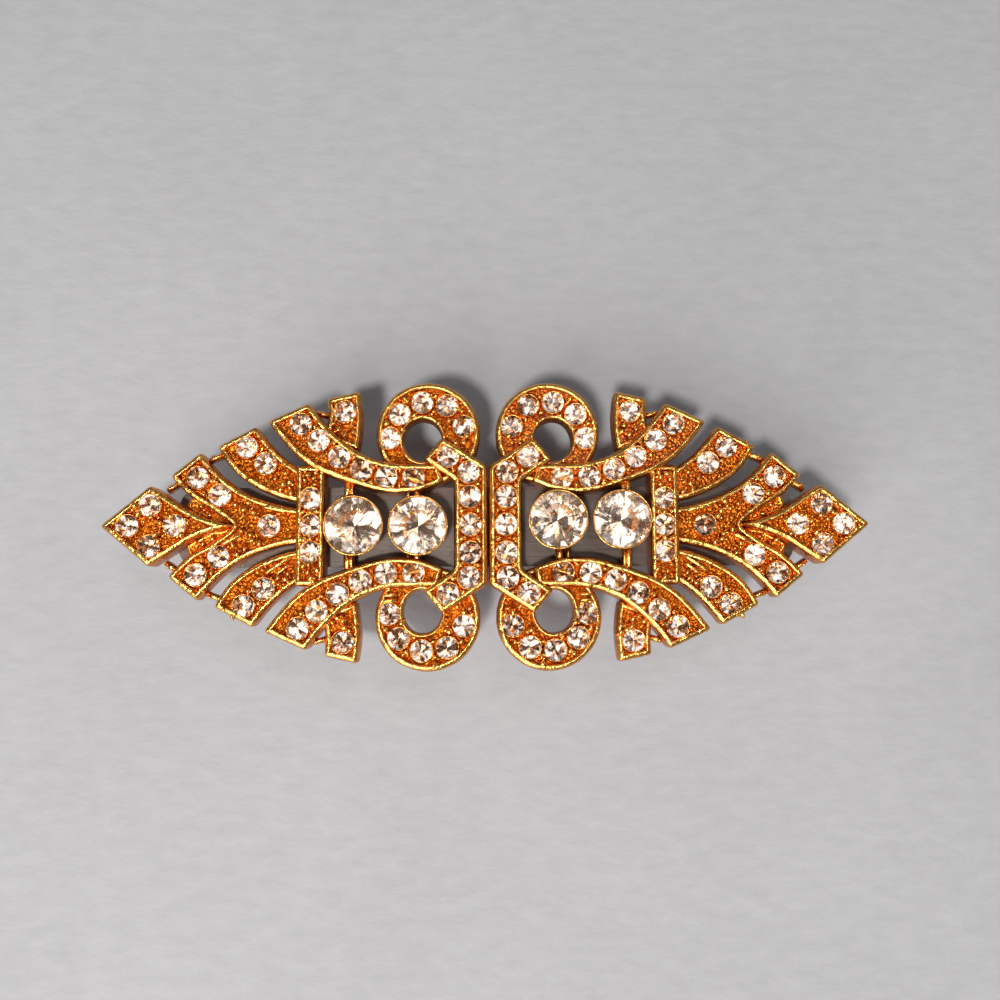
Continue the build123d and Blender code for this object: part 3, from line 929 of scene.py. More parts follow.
@dataclass
class Grains:
    """Small raised grains and bars that hold stones or fill the ends of ribbons."""

    seed: int
    parts: MeshParts = field(default_factory=MeshParts)
    dome_sides: int = 10
    # A grain's or bar's foot has a low polish value, so its colour takes the painted recess shade; its top
    # takes the painted highlight.
    dome_foot: float = 0.15
    dome_section: Points = ((1.0, 0.0), (0.98, 0.35), (0.82, 0.68), (0.5, 0.92))
    bar_foot: float = 0.2
    bar_section: Points = (
        (-0.5, 0.0), (-0.48, 0.55), (-0.3, 0.92), (0.0, 1.0), (0.3, 0.92), (0.48, 0.55), (0.5, 0.0)
    )
    bar_stations: tuple[Triple, ...] = (
        (0.0, 0.0, 0.8), (0.06, 0.7, 0.95), (0.16, 1.0, 1.0), (0.5, 1.0, 1.0),
        (0.84, 1.0, 1.0), (0.94, 0.7, 0.95), (1.0, 0.0, 0.8),
    )
    collar_sides: int = 28

    def __post_init__(self) -> None:
        """Starts the seeded spread of sizes and turns."""
        self.spread = random.Random(self.seed)

    def dome(self, x: float, y: float, low: float, radius: float, rise: float) -> None:
        """Adds one uneven rounded grain.

        Args:
            x: its place, in mm.
            y: its place, in mm.
            low: the height of its foot, in mm.
            radius: its radius, in mm.
            rise: its height above the foot, in mm.
        """
        sides = self.dome_sides
        turn = self.spread.uniform(0, math.pi)
        cos, sin = math.cos(turn), math.sin(turn)
        long = self.spread.uniform(0.85, 1.3)
        vertices, shine = [], []
        for share, up in self.dome_section:
            for k in range(sides):
                a = math.tau * k / sides
                r = radius * share * self.spread.uniform(0.92, 1.08)
                u, v = r * long * math.cos(a), r / long * math.sin(a)
                vertices.append((x + u * cos - v * sin, y + u * sin + v * cos, low + rise * up))
                shine.append(self.dome_foot + (1.0 - self.dome_foot) * up)
        top = len(vertices)
        vertices.append((x, y, low + rise))
        shine.append(1.0)
        faces = skin(len(self.dome_section), sides, False)
        faces += [(top - sides + k, top - sides + (k + 1) % sides, top) for k in range(sides)]
        self.parts.add(vertices, faces, shine)

    def bar(self, ends: tuple[Point, Point], width: float, low: float, rise: float) -> None:
        """Adds one rounded bar lying along the plan.

        Args:
            ends: its two ends, in mm.
            width: its width, in mm.
            low: the height of its foot, in mm.
            rise: its height above the foot, in mm.
        """
        (x1, y1), (x2, y2) = ends
        length = math.hypot(x2 - x1, y2 - y1)
        ax, ay = (x2 - x1) / length, (y2 - y1) / length
        vertices, shine = [], []
        for t, up, wide in self.bar_stations:
            for across, tall in self.bar_section:
                off = across * width * wide * self.spread.uniform(0.95, 1.05)
                z = low + rise * tall * up
                vertices.append((x1 + ax * length * t - ay * off, y1 + ay * length * t + ax * off, z))
                shine.append(self.bar_foot + (1.0 - self.bar_foot) * tall * up)
        wide = len(self.bar_section)
        rows = ((r * wide + k) for r in range(len(self.bar_stations) - 1) for k in range(wide - 1))
        self.parts.add(vertices, [(i, i + wide, i + wide + 1, i + 1) for i in rows], shine)

    def collar(self, x: float, y: float, top: float, low: float, radius: float) -> None:
        """Adds the raised seat round one stone.

        Args:
            x: the stone's place, in mm.
            y: the stone's place, in mm.
            top: the height of the seat's edge, in mm.
            low: the floor's height, in mm.
            radius: the stone's radius, in mm.
        """
        foot = low - top - 0.03
        # Each ring is a radius share, a height and a polish value; the low polish inside the seat paints its
        # inner wall with recess shade and the edge takes the painted highlight.
        inner = ((0.90, -0.30, 0.05), (1.0, 0.0, 0.55), (1.05, 0.02, 0.6))
        section = (*inner, (1.13, -0.09, 0.3), (1.22, foot, 0.1))
        vertices, shine = [], []
        for share, up, bright in section:
            for k in range(self.collar_sides):
                a = math.tau * k / self.collar_sides
                c, s = math.cos(a), math.sin(a)
                r = radius * share + noise.noise((x + c, y + s, share)) * 0.05 * (share > 1.01)
                vertices.append((x + r * c, y + r * s, top + up))
                shine.append(bright)
        self.parts.add(vertices, skin(len(section), self.collar_sides, True), shine)


@dataclass(frozen=True)
class Cut:
    """The proportions of a round stone, in mm."""

    diameter: float
    table: float
    crown: float
    girdle: float
    pavilion: float
    folds: int
    heart: float = 1.0
    mid_rise: float = 0.52
    edge_share: float = 0.985
    deep_share: float = 0.34
    deep_fall: float = 0.66
    lean: float = 0.06

    def shell(self, x: float, y: float, level: float, spread: random.Random, parts: MeshParts) -> None:
        """Adds one faceted stone: clear crown and girdle in slot 0, foiled pavilion in slot 1.

        Args:
            x: its place, in mm.
            y: its place, in mm.
            level: the height of the top of its girdle, in mm.
            spread: the seeded spread of turns, leans and facet values.
            parts: where it is added.
        """
        n = self.folds
        step = math.pi / n
        turn = spread.uniform(0, 2 * step)
        tilt = self.lean / self.diameter
        lean = Matrix.Rotation(spread.uniform(-tilt, tilt), 3, "X")
        lean = lean @ Matrix.Rotation(spread.uniform(-tilt, tilt), 3, "Y")

        low = -self.girdle
        table = self._corners(n, self.table, self.crown, turn)
        mid = self._corners(n, (1 + self.table) / 2 + 0.04, self.crown * self.mid_rise, turn + step)
        top = self._corners(2 * n, self.edge_share, 0.0, turn)
        bottom = self._corners(2 * n, self.edge_share, low, turn)
        deep = self._corners(n, self.deep_share, low - self.pavilion * self.deep_fall, turn + step)
        culet = [Vector((0, 0, low - self.pavilion))]
        points = [lean @ v + Vector((x, y, level)) for v in (*table, *mid, *top, *bottom, *deep, *culet)]
        m, g, b, d, c = n, 2 * n, 4 * n, 6 * n, 7 * n
        clear: list[tuple[int, ...]] = [tuple(range(n))]
        back: list[tuple[int, ...]] = []
        for k in range(n):
            after, before, far = (k + 1) % n, (k - 1) % n, 2 * n
            clear.append((k, m + k, after))
            clear.append((k, m + before, g + 2 * k, m + k))
            clear.append((m + k, g + 2 * k, g + 2 * k + 1))
            clear.append((m + k, g + 2 * k + 1, g + (2 * k + 2) % far))
            back.append((b + 2 * k, d + before, c, d + k))
            back.append((b + 2 * k, d + k, b + 2 * k + 1))
            back.append((b + 2 * k + 1, d + k, b + (2 * k + 2) % far))
        for k in range(2 * n):
            j = (k + 1) % (2 * n)
            clear.append((g + k, b + k, b + j, g + j))
        parts.add(points, clear, 0.5, 0, 0.5, True)
        # Facet values pick each pavilion facet's painted reflection and glint in the foil; heart lowers them
        # on the kite facets round the culet.
        values = [spread.random() * (self.heart if len(f) == 4 else 1.0) for f in back]
        parts.add(points, back, 0.5, 1, values, True)

    def _corners(self, count: int, share: float, height: float, turn: float) -> list[Vector]:
        """One level of corners, evenly round the stone's axis.

        Args:
            count: how many.
            share: their distance from the axis as a share of the stone's radius.
            height: their height above the top of the girdle, in mm.
            turn: the angle of the first.

        Returns:
            The corners in order.
        """
        radius, width = self.diameter / 2 * share, math.tau / count
        turns = (turn + width * k for k in range(count))
        return [Vector((radius * math.cos(a), radius * math.sin(a), height)) for a in turns]


# ---------------------------------------------------------------- sub-assemblies
@dataclass(frozen=True)
class Finishes:
    """The materials shared by the sub-assemblies."""

    gilt: bpy.types.Material
    crystal: bpy.types.Material
    foil: bpy.types.Material
    large_crystal: bpy.types.Material
    large_foil: bpy.types.Material

    @classmethod
    def made(cls) -> "Finishes":
        """Builds each finish once.

        Returns:
            The set of materials.
        """
        return cls(
            Gilt().material(),
            Crystal().material(),
            Foil().material(),
            Crystal("large_cut_crystal", (1.0, 0.965, 0.92), 1.55).material(),
            # The large stones' foil: lighter, warmer painted reflections and larger blobs of painted glint.
            Foil(
                "large_stone_foil",
                bright=(0.97, 0.86, 0.74),
                dark=(0.70, 0.55, 0.46),
                warm=(0.95, 0.76, 0.46),
                glint=(0.85, 0.83, 0.81),
                glint_from=0.62,
                chip_cell=1000.0,
            ).material(),
        )


@dataclass(frozen=True)
class Levels:
    """Heights of the castings, in mm."""

    back: float
    leaf: float = 2.2
    loop: float = 2.35
    outer_strip: float = 2.55
    tip: float = 2.75
    sash: float = 2.8
    strip: float = 3.1
    web: float = 1.3
    stone_sink: float = 0.1
    tray: float = 0.42
    big_girdle: float = 3.3

    def floor(self, ribbon: str) -> float:
        """The height of the sunk floor of one kind of ribbon."""
        return self.back + getattr(self, ribbon) - (WEB_RIM.drop if ribbon == "web" else self.tray)

    def girdle(self, height: float) -> float:
        """The height of the top of a small stone's girdle, set in a rim of some height."""
        return self.back + height - self.stone_sink


# Grains at the ribbons' ends: the kind of ribbon, then their places in the upper right quarter's frame.
END_GRAINS: dict[Fold, tuple[tuple[str, Points], ...]] = {
    Fold.UPPER: (
        (
            "leaf",
            ((13.4, 9.35), (13.65, 9.96), (14.25, 9.05), (13.54, 10.55), (15.4, 10.2), (14.9, 9.6)),
        ),
        (
            "loop",
            ((2.4, 8.25), (2.9, 7.65), (2.1, 8.9), (4.92, 10.2), (8.3, 12.7), (3.2, 8.2)),
        ),
        (
            "leaf",
            ((24.13, 1.6), (24.95, 2.1), (23.64, 2.3), (23.2, 1.35), (22.9, 0.85), (27.3, 4.5), (28.0, 3.1)),
        ),
        (
            "leaf",
            ((21.05, 4.7), (20.05, 5.2), (20.25, 4.1), (19.65, 4.3), (26.0, 8.0), (20.5, 3.6), (19.5, 3.3)),
        ),
        (
            "outer_strip",
            ((18.1, 4.5), (17.2, 4.7), (17.0, 5.2), (17.8, 5.0), (17.1, 4.05), (17.5, 1.3), (16.9, 1.35)),
        ),
        (
            "tip",
            ((32.1, 0.3), (31.09, 0.9), (33.0, 0.9), (34.2, 1.15), (36.6, 0.3), (29.4, 0.35), (34.6, 2.0)),
        ),
        (
            "web",
            ((28.4, 2.0), (29.0, 1.4), (27.56, 1.1)),
        ),
    ),
    Fold.LOWER: (
        (
            "leaf",
            ((13.05, 9.9), (13.6, 10.3), (14.1, 10.0), (13.0, 10.6), (14.8, 9.05), (15.3, 9.5), (14.2, 9.3)),
        ),
        (
            "loop",
            ((1.9, 8.2), (1.6, 8.77), (2.4, 8.6), (4.2, 10.3), (5.3, 13.6), (8.35, 12.6), (3.1, 8.0)),
        ),
        (
            "leaf",
            ((23.95, 2.25), (23.26, 1.45), (24.7, 2.8), (22.55, 1.7), (23.4, 0.9), (24.3, 0.5), (25.1, 1.9)),
        ),
        (
            "leaf",
            ((19.9, 5.25), (20.55, 5.75), (21.05, 5.5), (19.7, 4.75), (25.0, 8.9), (25.8, 8.2), (20.6, 5.1)),
        ),
        (
            "outer_strip",
            ((16.75, 4.4), (17.7, 4.6), (17.4, 5.2), (18.1, 3.95), (17.15, 5.5), (17.5, 1.3), (18.1, 1.4)),
        ),
        (
            "tip",
            ((31.66, 0.5), (34.0, 1.3), (32.5, 0.9), (32.2, 1.5), (35.5, 1.6), (36.5, 0.5), (30.0, 0.9)),
        ),
        (
            "web",
            ((27.2, 1.2), (28.2, 1.8), (28.9, 1.5)),
        ),
    ),
}
# Bars at the ribbons' ends: first end, last end, width, the kind of ribbon and the rise above its floor.
END_BARS: dict[Fold, tuple[tuple[Point, Point, float, str, float], ...]] = {
    Fold.UPPER: (
        ((19.75, 1.4), (22.5, 2.0), 0.42, "leaf", 0.42),
        ((11.9, 4.3), (11.2, 4.0), 0.3, "sash", 0.3),
    ),
    Fold.LOWER: (
        ((8.9, 6.8), (10.45, 6.9), 0.40, "loop", 0.46),
        ((8.9, 7.35), (10.45, 7.45), 0.40, "loop", 0.46),
        ((24.3, 0.85), (26.3, 1.85), 0.5, "leaf", 0.5),
        ((19.3, 2.95), (22.0, 4.75), 0.42, "leaf", 0.42),
        ((19.45, 3.75), (20.9, 4.85), 0.36, "leaf", 0.42),
    ),
}


@dataclass
class Casting:
    """One gilt openwork half: looped ribbons, crossing sashes, strips, leaves and a tip."""

    half: Half
    levels: Levels
    finishes: Finishes
    loop_centre: Point = (5.95, 9.15)
    loop_radius: float = 5.2
    loop_hole: Point = (6.5, 8.5)
    loop_hole_radius: float = 1.9
    loop_hole_squash: float = 1.12
    loop_stones: Points = ((9.75, 8.7), (8.8, 11.1), (6.55, 12.3), (4.05, 12.0), (2.4, 9.9))
    strip_shoulder: float = 5.9
    chevron: Points = ((4.5, 8.75), (6.45, 6.45), (3.4, 4.35))
    strip_stones: Points = ((1.8, 2.75), (1.9, 5.2), (3.95, 6.75))
    strip_middle: Point = (1.75, 0.0)
    seam: float = 0.05
    sash_outer: Points = (
        (4.9, 6.1), (7.1, 6.15), (8.7, 6.15), (10.6, 6.45),
        (12.6, 7.2), (14.8, 8.8), (16.4, 10.45), (17.75, 12.25),
    )
    sash_inner: Points = (
        (21.9, 10.35), (19.4, 7.3), (17.7, 5.9), (15.5, 4.8), (12.8, 3.85),
        (10.6, 3.25), (8.7, 3.1), (6.8, 3.3), (4.3, 4.25),
    )
    sash_stones: Points = (
        (7.35, 4.7), (10.05, 4.75), (12.5, 5.5), (14.7, 6.75), (16.75, 8.4), (18.55, 10.05)
    )
    outer_x: tuple[float, float] = (16.05, 19.0)
    outer_half: float = 6.0
    outer_stone: Point = (17.5, 2.65)
    short_left: Points = ((12.9, 7.4), (12.5, 10.6), (12.8, 13.55))
    short_right: Points = ((16.1, 12.8), (16.0, 10.7), (16.4, 8.7))
    short_stones: Points = ((14.25, 11.4),)
    long_outer: Points = ((17.6, 5.05), (19.15, 5.95), (21.05, 7.55), (23.1, 10.0))
    long_inner: Points = ((26.9, 7.95), (25.6, 5.85), (24.1, 4.5), (22.4, 3.5), (20.2, 2.65), (17.6, 2.1))
    long_stones: Points = ((22.05, 6.2), (23.95, 7.85))
    fan_outer: Points = (
        (17.6, 1.65), (19.6, 1.9), (21.8, 2.45), (23.6, 3.15), (25.2, 4.1), (26.8, 5.45), (28.5, 7.4)
    )
    fan_inner: Points = ((31.5, 5.0), (30.3, 3.65), (29.1, 2.65), (27.2, 1.5), (25.2, 0.0))
    fan_stones: Points = ((26.5, 3.05), (28.7, 4.8))
    fan_root_stone: Point = (21.6, 0.0)
    web: Points = ((24.6, 0.0), (27.0, 1.9), (29.5, 3.3), (30.1, 1.8), (27.4, 0.3))
    tip_side: Points = ((24.9, 0.0), (27.2, 0.65), (29.4, 1.6), (31.4, 2.9), (33.2, 4.05))
    tip_point: Point = (38.05, 0.0)
    tip_side_stone: Point = (33.15, 2.0)
    tip_axis_stones: Points = ((30.7, 0.0), (35.3, 0.0))
    leaf_root_x: float = 18.42
    stone: Cut = Cut(2.16, 0.56, 0.3, 0.06, 0.82, 8)
    links: tuple[tuple[Point, Point], ...] = (
        ((15.9, 11.1), (17.3, 11.5)), ((26.3, 7.2), (27.9, 6.6)), ((30.7, 4.4), (32.0, 3.5))
    )
    link_grains: Points = ((16.9, 11.4), (27.35, 6.95), (31.5, 4.0))
    link_width: float = 0.6
    link_low: float = 0.4
    link_rise: float = 1.1
    link_grain_low: float = 1.2
    pair_reach: float = 3.2

    def ribbons(self) -> list[Ribbon]:
        """Every ribbon of this half, lowest first.

        Returns:
            The ribbons with their outlines in the row frame.
        """
        lv = self.levels
        long_leaf = right_of(joined(smooth(self.long_outer), smooth(self.long_inner)), self.leaf_root_x)
        out = []
        short_leaf = joined(smooth(self.short_left), smooth(self.short_right))
        loop = ring(self.loop_centre, self.loop_radius)
        sash = joined(smooth(self.sash_outer), smooth(self.sash_inner))
        for fold in Fold:
            eye = placed(ring(self.loop_hole, self.loop_hole_radius, self.loop_hole_squash), self.half, fold)
            out += [
                self._cast("short_leaf", short_leaf, lv.leaf, ("leaf_stones",), fold),
                self._cast("long_leaf", long_leaf, lv.leaf, ("leaf_stones",), fold),
                self._cast("loop", loop, lv.loop, ("loop_stones",), fold, holes=[eye]),
                self._cast("sash", sash, lv.sash, ("sash_stones",), fold),
                self._cast("web", joined(self.web), lv.web, (), fold, rim=WEB_RIM),
            ]
        (x1, x2), y = self.outer_x, self.outer_half
        fan = right_of(self._doubled(smooth(self.fan_outer) + smooth(self.fan_inner)), self.leaf_root_x)
        upright = joined([(x1, -y), (x2, -y), (x2, y), (x1, y)])
        tip = self._doubled(smooth(self.tip_side), self.tip_point)
        strip = self._doubled([(self.seam, self.strip_shoulder), *self.chevron])
        fan_stones = ("fan_root_stone", "upper_leaf_stones", "lower_leaf_stones")
        out += [
            self._cast("fan", fan, lv.leaf, fan_stones),
            self._cast("outer_strip", upright, lv.outer_strip, ("outer_strip_stones",)),
            self._cast("tip", tip, lv.tip, ("tip_stones",)),
            self._cast("centre_strip", strip, lv.strip, ("centre_strip_stones",)),
        ]
        stones = {name: points for name, _, points in self.stone_groups()}
        for index, ribbon in enumerate(out):
            ribbon.seed = 3.7 * index + 40.0 * self.half.value
            ribbon.seats = [p for name in ribbon.stones for p in stones[name] if inside(p, ribbon.outline)]
        return out

    def _named(self, what: str, fold: Optional[Fold]) -> str:
        """A piece's name, with its fold where it has one."""
        return "_".join([self.half.label] + ([fold.label] if fold else []) + [what])

    def _cast(
        self,
        what: str,
        outline: list[Point],
        height: float,
        stones: Sequence[str],
        fold: Optional[Fold] = None,
        **more: Any,
    ) -> Ribbon:
        """One ribbon, mirrored into place.

        Args:
            what: the kind of ribbon.
            outline: its outline in the upper right quarter's frame, in mm.
            height: the height of its rim above the back.
            stones: the groups of stones set in it.
            fold: above or below the long axis, or None when it spans both.
            more: the ribbon's other fields.

        Returns:
            The ribbon.
        """
        groups = tuple(self._named(name, fold) for name in stones)
        there = placed(outline, self.half, fold or Fold.UPPER)
        return Ribbon(self._named(what, fold), there, height, groups, **more)

    @staticmethod
    def _doubled(side: list[Point], *end: Point) -> list[Point]:
        """An outline closed by the mirror image of its upper side, past an end point if one is given."""
        return joined(side, end, placed(reversed(side), Half.RIGHT, Fold.LOWER))

    def stone_groups(self) -> list[tuple[str, float, list[Point]]]:
        """Each CAD group of stones.

        Returns:
            The group's name, the height of the rim round it, and its stones in the row frame.
        """
        lv, up, down = self.levels, Fold.UPPER, Fold.LOWER
        leaves = [*self.short_stones, *self.long_stones, *self.fan_stones]
        x, y = self.outer_stone
        low_strip = [(px, -py) for px, py in reversed(self.strip_stones)]
        side_x, side_y = self.tip_side_stone
        groups: list[tuple[str, float, Sequence[Point], Fold]] = [
            ("upper_loop_stones", lv.loop, self.loop_stones, up),
            ("lower_loop_stones", lv.loop, self.loop_stones, down),
            ("centre_strip_stones", lv.strip, [*low_strip, self.strip_middle, *self.strip_stones], up),
            ("upper_sash_stones", lv.sash, self.sash_stones, up),
            ("lower_sash_stones", lv.sash, self.sash_stones, down),
            ("outer_strip_stones", lv.outer_strip, [(x, -y), (x, 0.0), (x, y)], up),
            ("upper_leaf_stones", lv.leaf, leaves, up),
            ("lower_leaf_stones", lv.leaf, leaves, down),
            ("fan_root_stone", lv.leaf, [self.fan_root_stone], up),
            ("tip_stones", lv.tip, [*self.tip_axis_stones, (side_x, side_y), (side_x, -side_y)], up),
        ]
        return [(f"{self.half.label}_{n}", h, placed(p, self.half, f)) for n, h, p, f in groups]

    def grains(self) -> Grains:
        """The seats round the stones, the grains between them and the bars at the ribbons' ends.

        Returns:
            The gathered grains.
        """
        made = Grains(11 + self.half.value)
        for name, height, points in self.stone_groups():
            floor = self.levels.back + height - self.levels.tray
            girdle = self.levels.girdle(height) - self.stone.girdle
            for x, y in points:
                made.collar(x, y, girdle + 0.02, floor, self.stone.diameter / 2)
            self._between(made, points, floor, "leaf" in name or "tip" in name)
        for fold in Fold:
            self._ends(made, fold)
        return made

    def _between(self, made: Grains, points: Sequence[Point], floor: float, loose: bool) -> None:
        """Adds a pair of grains, each with two smaller ones, beside each step from stone to stone.

        Args:
            made: where they are added.
            points: the stones in order.
            floor: the floor's height, in mm.
            loose: whether stones further apart are left alone.
        """
        drawn = made.spread.uniform
        for (x1, y1), (x2, y2) in zip(points, points[1:]):
            step = math.hypot(x2 - x1, y2 - y1)
            if loose and step > self.pair_reach:
                continue
            for side in (-1, 1):
                off = side * drawn(0.74, 0.88)
                x = (x1 + x2) / 2 - (y2 - y1) / step * off
                y = (y1 + y2) / 2 + (x2 - x1) / step * off
                made.dome(x, y, floor, drawn(0.22, 0.31), drawn(0.40, 0.52))
                for _ in range(2):
                    u, v = drawn(-0.34, 0.34), drawn(-0.12, 0.3) * side
                    made.dome(x + u, y + v, floor, drawn(0.12, 0.19), drawn(0.26, 0.44))

    def _ends(self, made: Grains, fold: Fold) -> None:
        """Adds the grains and bars where ribbons end or pass under others, and the links between leaves.

        Args:
            made: where they are added.
            fold: above or below the long axis.
        """
        drawn, lv = made.spread.uniform, self.levels
        for kind, points in END_GRAINS[fold]:
            floor = lv.floor(kind)
            for x, y in placed(points, self.half, fold):
                size = drawn(0.25, 0.38)
                made.dome(x, y, floor, size, size * 1.6 + 0.08)
                turn, away = drawn(0.0, math.tau), drawn(0.36, 0.5)
                u, v = away * math.cos(turn), away * math.sin(turn)
                made.dome(x + u, y + v, floor, size * 0.55, size + 0.1)
        bars = [(a, b, width, lv.floor(kind), rise) for a, b, width, kind, rise in END_BARS[fold]]
        bars += [(a, b, self.link_width, lv.back + self.link_low, self.link_rise) for a, b in self.links]
        for first, last, width, low, rise in bars:
            a, b = placed([first, last], self.half, fold)
            made.bar((a, b), width, low, rise)
        for x, y in placed(self.link_grains, self.half, fold):
            made.dome(x, y, lv.back + self.link_grain_low, 0.22, 0.5)

    def build(self) -> None:
        """Builds the ribbons, grains and stones, and hides the CAD parts they stand for."""
        casting = self._named("casting", None)
        for ribbon in self.ribbons():
            parts = MeshParts()
            ribbon.shell(self.levels.back, parts)
            fit_piece(parts.build(ribbon.name, [self.finishes.gilt]), casting)
        grains = self.grains().parts
        fit_piece(grains.build(self._named("grains", None), [self.finishes.gilt]), casting)
        spread = random.Random(23 + self.half.value)
        for name, height, points in self.stone_groups():
            parts = MeshParts()
            for x, y in points:
                self.stone.shell(x, y, self.levels.girdle(height), spread, parts)
            made = parts.build(f"{name}_cut", [self.finishes.crystal, self.finishes.foil])
            fit_piece(made, name)


@dataclass
class LargeStones:
    """The four large stones in their turned cups, with the posts that carry them."""

    levels: Levels
    finishes: Finishes
    cut: Cut = Cut(5.6, 0.55, 0.8, 0.12, 2.15, 12, 0.55)
    places: tuple[tuple[str, float, float], ...] = (
        ("left_outer", -13.2, -0.1),
        ("left_inner", -6.9, -0.1),
        ("right_inner", 6.9, 0.45),
        ("right_outer", 13.2, 0.45),
    )
    clearance: float = 0.03
    wall: float = 0.12
    lip: float = 0.09
    hole: float = 0.7
    post_low: float = 1.0
    post_rise: float = 1.35
    inner_posts: Points = ((0.15, 0.80), (1.0, 0.42))
    outer_posts: Points = ((-0.70, 0.80), (0.25, 0.42))
    post_tuck: float = 0.35
    inner_reach: float = 10.0
    inner_end: float = 3.75
    outer_end: float = 4.55
    stone_drop: float = 0.03
    sides: int = 72

    def cup(self, x: float, y: float, parts: MeshParts) -> None:
        """Adds one cup with its burnished lip.

        Args:
            x: its place, in mm.
            y: its place, in mm.
            parts: where it is added.
        """
        level = self.levels.back + self.levels.big_girdle
        inner = self.cut.diameter / 2 + self.clearance
        outer = inner + self.wall
        low = -self.cut.girdle - self.clearance
        deep = low - (inner - self.hole) * self.cut.pavilion / (self.cut.diameter / 2)
        top, foot = self.lip - 0.01, deep + 0.02
        # Each ring is a radius, a height and a polish value; the lip's high value paints it with the crest
        # highlight and the low values below paint it with shade.
        section = (
            (self.hole, foot, 0.1),
            (inner - 0.05, low - 0.02, 0.2),
            (inner - 0.01, self.lip - 0.06, 0.6),
            (inner + 0.03, top, 1.0),
            (outer - 0.05, top, 1.0),
            (outer - 0.01, self.lip - 0.06, 0.9),
            (outer, low * 0.5, 0.5),
            (outer - 0.01, low - 0.03, 0.4),
            (outer - 0.5, low - 0.45, 0.3),
            (self.hole + self.wall, foot, 0.1),
            (self.hole, foot, 0.1),
        )
        vertices, shine = [], []
        for radius, up, bright in section:
            for k in range(self.sides):
                a = math.tau * k / self.sides
                c, s = math.cos(a), math.sin(a)
                r = radius - abs(noise.noise((x + 2 * c, y + 2 * s, up))) * 0.03
                vertices.append((x + r * c, y + r * s, level + up))
                shine.append(bright)
        parts.add(vertices, skin(len(section), self.sides, True), shine)

    def posts(self, x: float, y: float, grains: Grains) -> None:
        """Adds the paired posts from one cup to the sashes above and below.

        Args:
            x: the cup's place, in mm.
            y: the cup's place, in mm.
            grains: where they are added.
        """
        near = abs(x) < self.inner_reach
        reach, end = self.cut.diameter / 2 - self.post_tuck, self.inner_end if near else self.outer_end
        low = self.levels.back + self.post_low
        for way in (-1, 1):
            for off, width in self.inner_posts if near else self.outer_posts:
                along = x + math.copysign(off, x)
                grains.bar(((along, y + way * reach), (along, way * end)), width, low, self.post_rise)

    def build(self) -> None:
        """Builds the cups, posts and stones, and hides the CAD parts they stand for."""
        spread = random.Random(5)
        for index, (name, x, y) in enumerate(self.places):
            grains = Grains(60 + index)
            self.cup(x, y, grains.parts)
            self.posts(x, y, grains)
            fit_piece(grains.parts.build(f"{name}_setting", [self.finishes.gilt]), f"{name}_cup")
            parts = MeshParts()
            self.cut.shell(x, y, self.levels.back + self.levels.big_girdle - self.stone_drop, spread, parts)
            made = parts.build(f"{name}_cut_crystal", [self.finishes.large_crystal, self.finishes.large_foil])
            fit_piece(made, f"{name}_crystal")


@dataclass
class Barrette:
    """The steel clasp behind the castings, shown by its CAD parts with their own finishes; the bar's finish
    is painted dark and warm as shade and a reflection of the gilt.
    """

    # The bar's dark, warm brown tone is painted shade with a painted reflection of the gilt above; the other
    # steels keep a plain steel grey.
    bar: Steel = Steel("rolled_steel", (0.145, 0.117, 0.10), (0.085, 0.068, 0.058), 0.46)
    arm: Steel = Steel("drawn_arm_steel", (0.62, 0.61, 0.60), (0.40, 0.39, 0.38), 0.28)
    spring: Steel = Steel("blued_spring_steel", (0.40, 0.41, 0.43), (0.22, 0.22, 0.24), 0.30)
    turned: Steel = Steel(
        "turned_steel", (0.66, 0.65, 0.63), (0.42, 0.41, 0.40), 0.24, along=(900.0, 900.0, 2600.0)
    )

    def build(self) -> None:
        """Gives each steel CAD part its finish."""
        for finish, names in (
            (self.bar, ("barrette_bar",)),
            (self.arm, ("clasp_arm",)),
            (self.spring, ("bow_spring", "catch_base", "catch_leg_front", "catch_leg_back")),
            (self.turned, ("hinge_pin", "spring_rivet", "catch_rivet")),
        ):
            material = finish.material()
            for name in names:
                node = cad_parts[name]
                node.data.materials.clear()
                node.data.materials.append(material)
                log.info("dressed %s in %s", name, finish.name)


def fit_piece(made: bpy.types.Object, node: str) -> None:
    """Ties a finished piece to the ornament and hides the CAD part it stands for.

    Args:
        made: the piece.
        node: the CAD part it replaces.
    """
    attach(made, "ornament")
    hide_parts(node)
    log.info("built %s: %d faces", made.name, len(made.data.polygons))


# ---------------------------------------------------------------- studio
@dataclass(frozen=True)
class Lamp:
    """One area lamp aimed at a point, sizes in metres."""

    name: str
    at: Triple
    size: float
    power: float
    colour: Colour
    target: Triple = (0.0, 0.0, 0.01)

    def build(self) -> None:
        """Adds the lamp."""
        data = bpy.data.lights.new(self.name, "AREA")
        data.shape = "DISK"
        data.size = self.size
        data.energy = self.power
        data.color = self.colour
        made = bpy.data.objects.new(self.name, data)
        made.location = self.at
        made.rotation_euler = (Vector(self.target) - Vector(self.at)).to_track_quat("-Z", "Y").to_euler()
        bpy.context.scene.collection.objects.link(made)


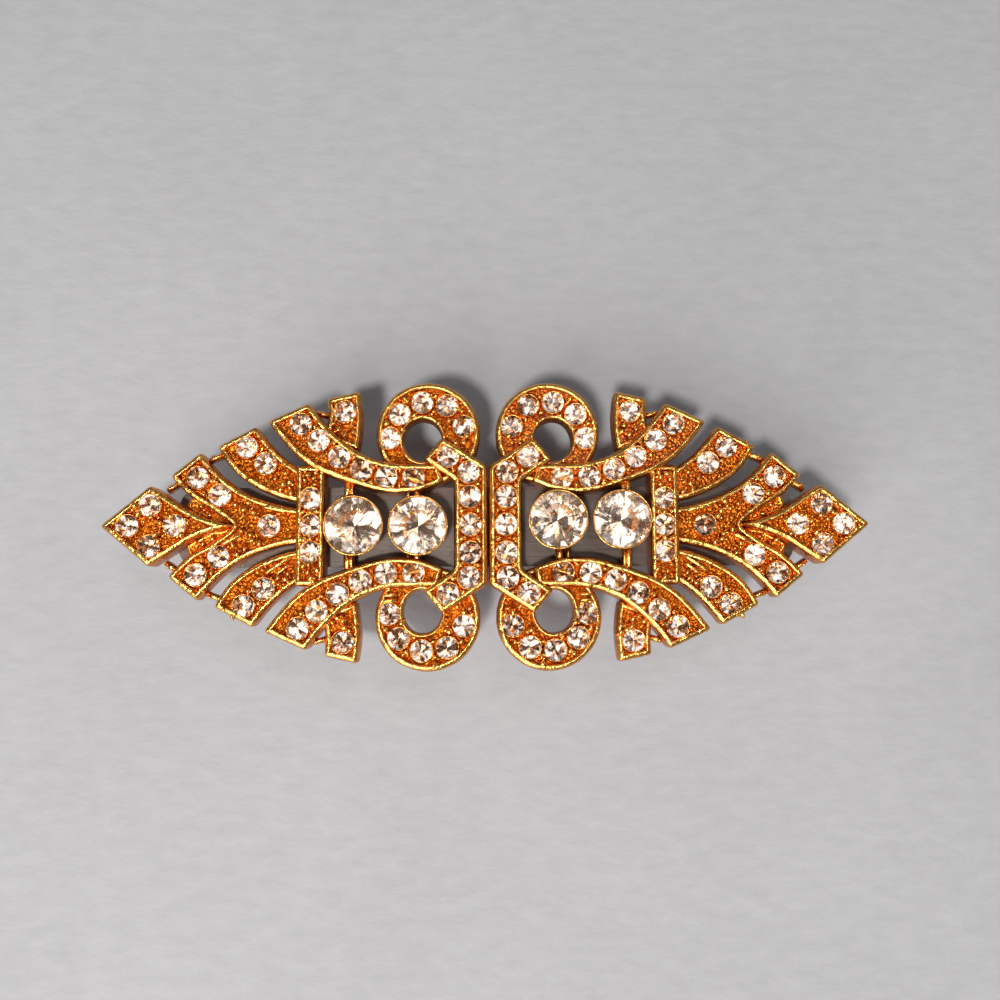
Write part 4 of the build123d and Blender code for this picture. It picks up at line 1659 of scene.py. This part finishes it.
@dataclass(frozen=True)
class Studio:
    """The sheet of paper, the lamps, the surroundings and the camera."""

    sheet_half: float = 0.45
    surround: Colour = (0.13, 0.128, 0.132)
    camera_at: Triple = (-0.0010, -0.0079, 0.1099)
    camera_way: Triple = (0.022, 0.1046, -0.9943)
    camera_up: Triple = (0.0028, 0.9945, 0.1045)
    lens: float = 36.0
    sensor: float = 36.0
    nearest: float = 0.002
    lamps: tuple[Lamp, ...] = (
        Lamp("key", (-0.075, -0.14, 0.49), 0.06, 1.6, (1.0, 0.985, 0.97)),
        Lamp("mid_card", (-0.13, -0.22, 0.42), 0.24, 0.66, (1.0, 0.985, 0.97)),
        Lamp("low_card", (-0.20, -0.36, 0.25), 0.36, 1.12, (1.0, 0.98, 0.96)),
        Lamp("top_fill", (0.09, 0.17, 0.56), 0.22, 0.36, (0.97, 0.98, 1.0)),
    )

    def build(self) -> None:
        """Adds everything that isn't part of the clip."""
        s = self.sheet_half
        mesh = bpy.data.meshes.new("paper_sheet")
        mesh.from_pydata([(-s, -s, 0), (s, -s, 0), (s, s, 0), (-s, s, 0)], [], [(0, 1, 2, 3)])
        mesh.materials.append(Paper().material())
        sheet = bpy.data.objects.new("paper_sheet", mesh)
        bpy.context.scene.collection.objects.link(sheet)
        for lamp in self.lamps:
            lamp.build()
        world = bpy.data.worlds.new("studio_surround")
        world.use_nodes = True
        world.node_tree.nodes["Background"].inputs["Color"].default_value = (*self.surround, 1.0)
        bpy.context.scene.world = world
        self._camera()

    def _camera(self) -> None:
        """Adds the camera and makes it the scene's."""
        data = bpy.data.cameras.new("camera")
        data.lens, data.sensor_width = self.lens, self.sensor
        data.clip_start = self.nearest
        made = bpy.data.objects.new("camera", data)
        back = -Vector(self.camera_way).normalized()
        side = Vector(self.camera_up).cross(back).normalized()
        up = back.cross(side)
        turn = Matrix((side, up, back)).transposed()
        made.matrix_world = Matrix.Translation(self.camera_at) @ turn.to_4x4()
        bpy.context.scene.collection.objects.link(made)
        bpy.context.scene.camera = made


def main() -> None:
    """Builds every sub-assembly in order."""
    logging.basicConfig(level=logging.INFO, format="%(name)s: %(message)s")
    levels = Levels(back=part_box("right_casting")[0].z / MM)
    finishes = Finishes.made()
    for half in Half:
        Casting(half, levels, finishes).build()
    LargeStones(levels, finishes).build()
    Barrette().build()
    Studio().build()
    bpy.context.scene.view_settings.view_transform = "Standard"


if __name__ == "__main__":
    main()
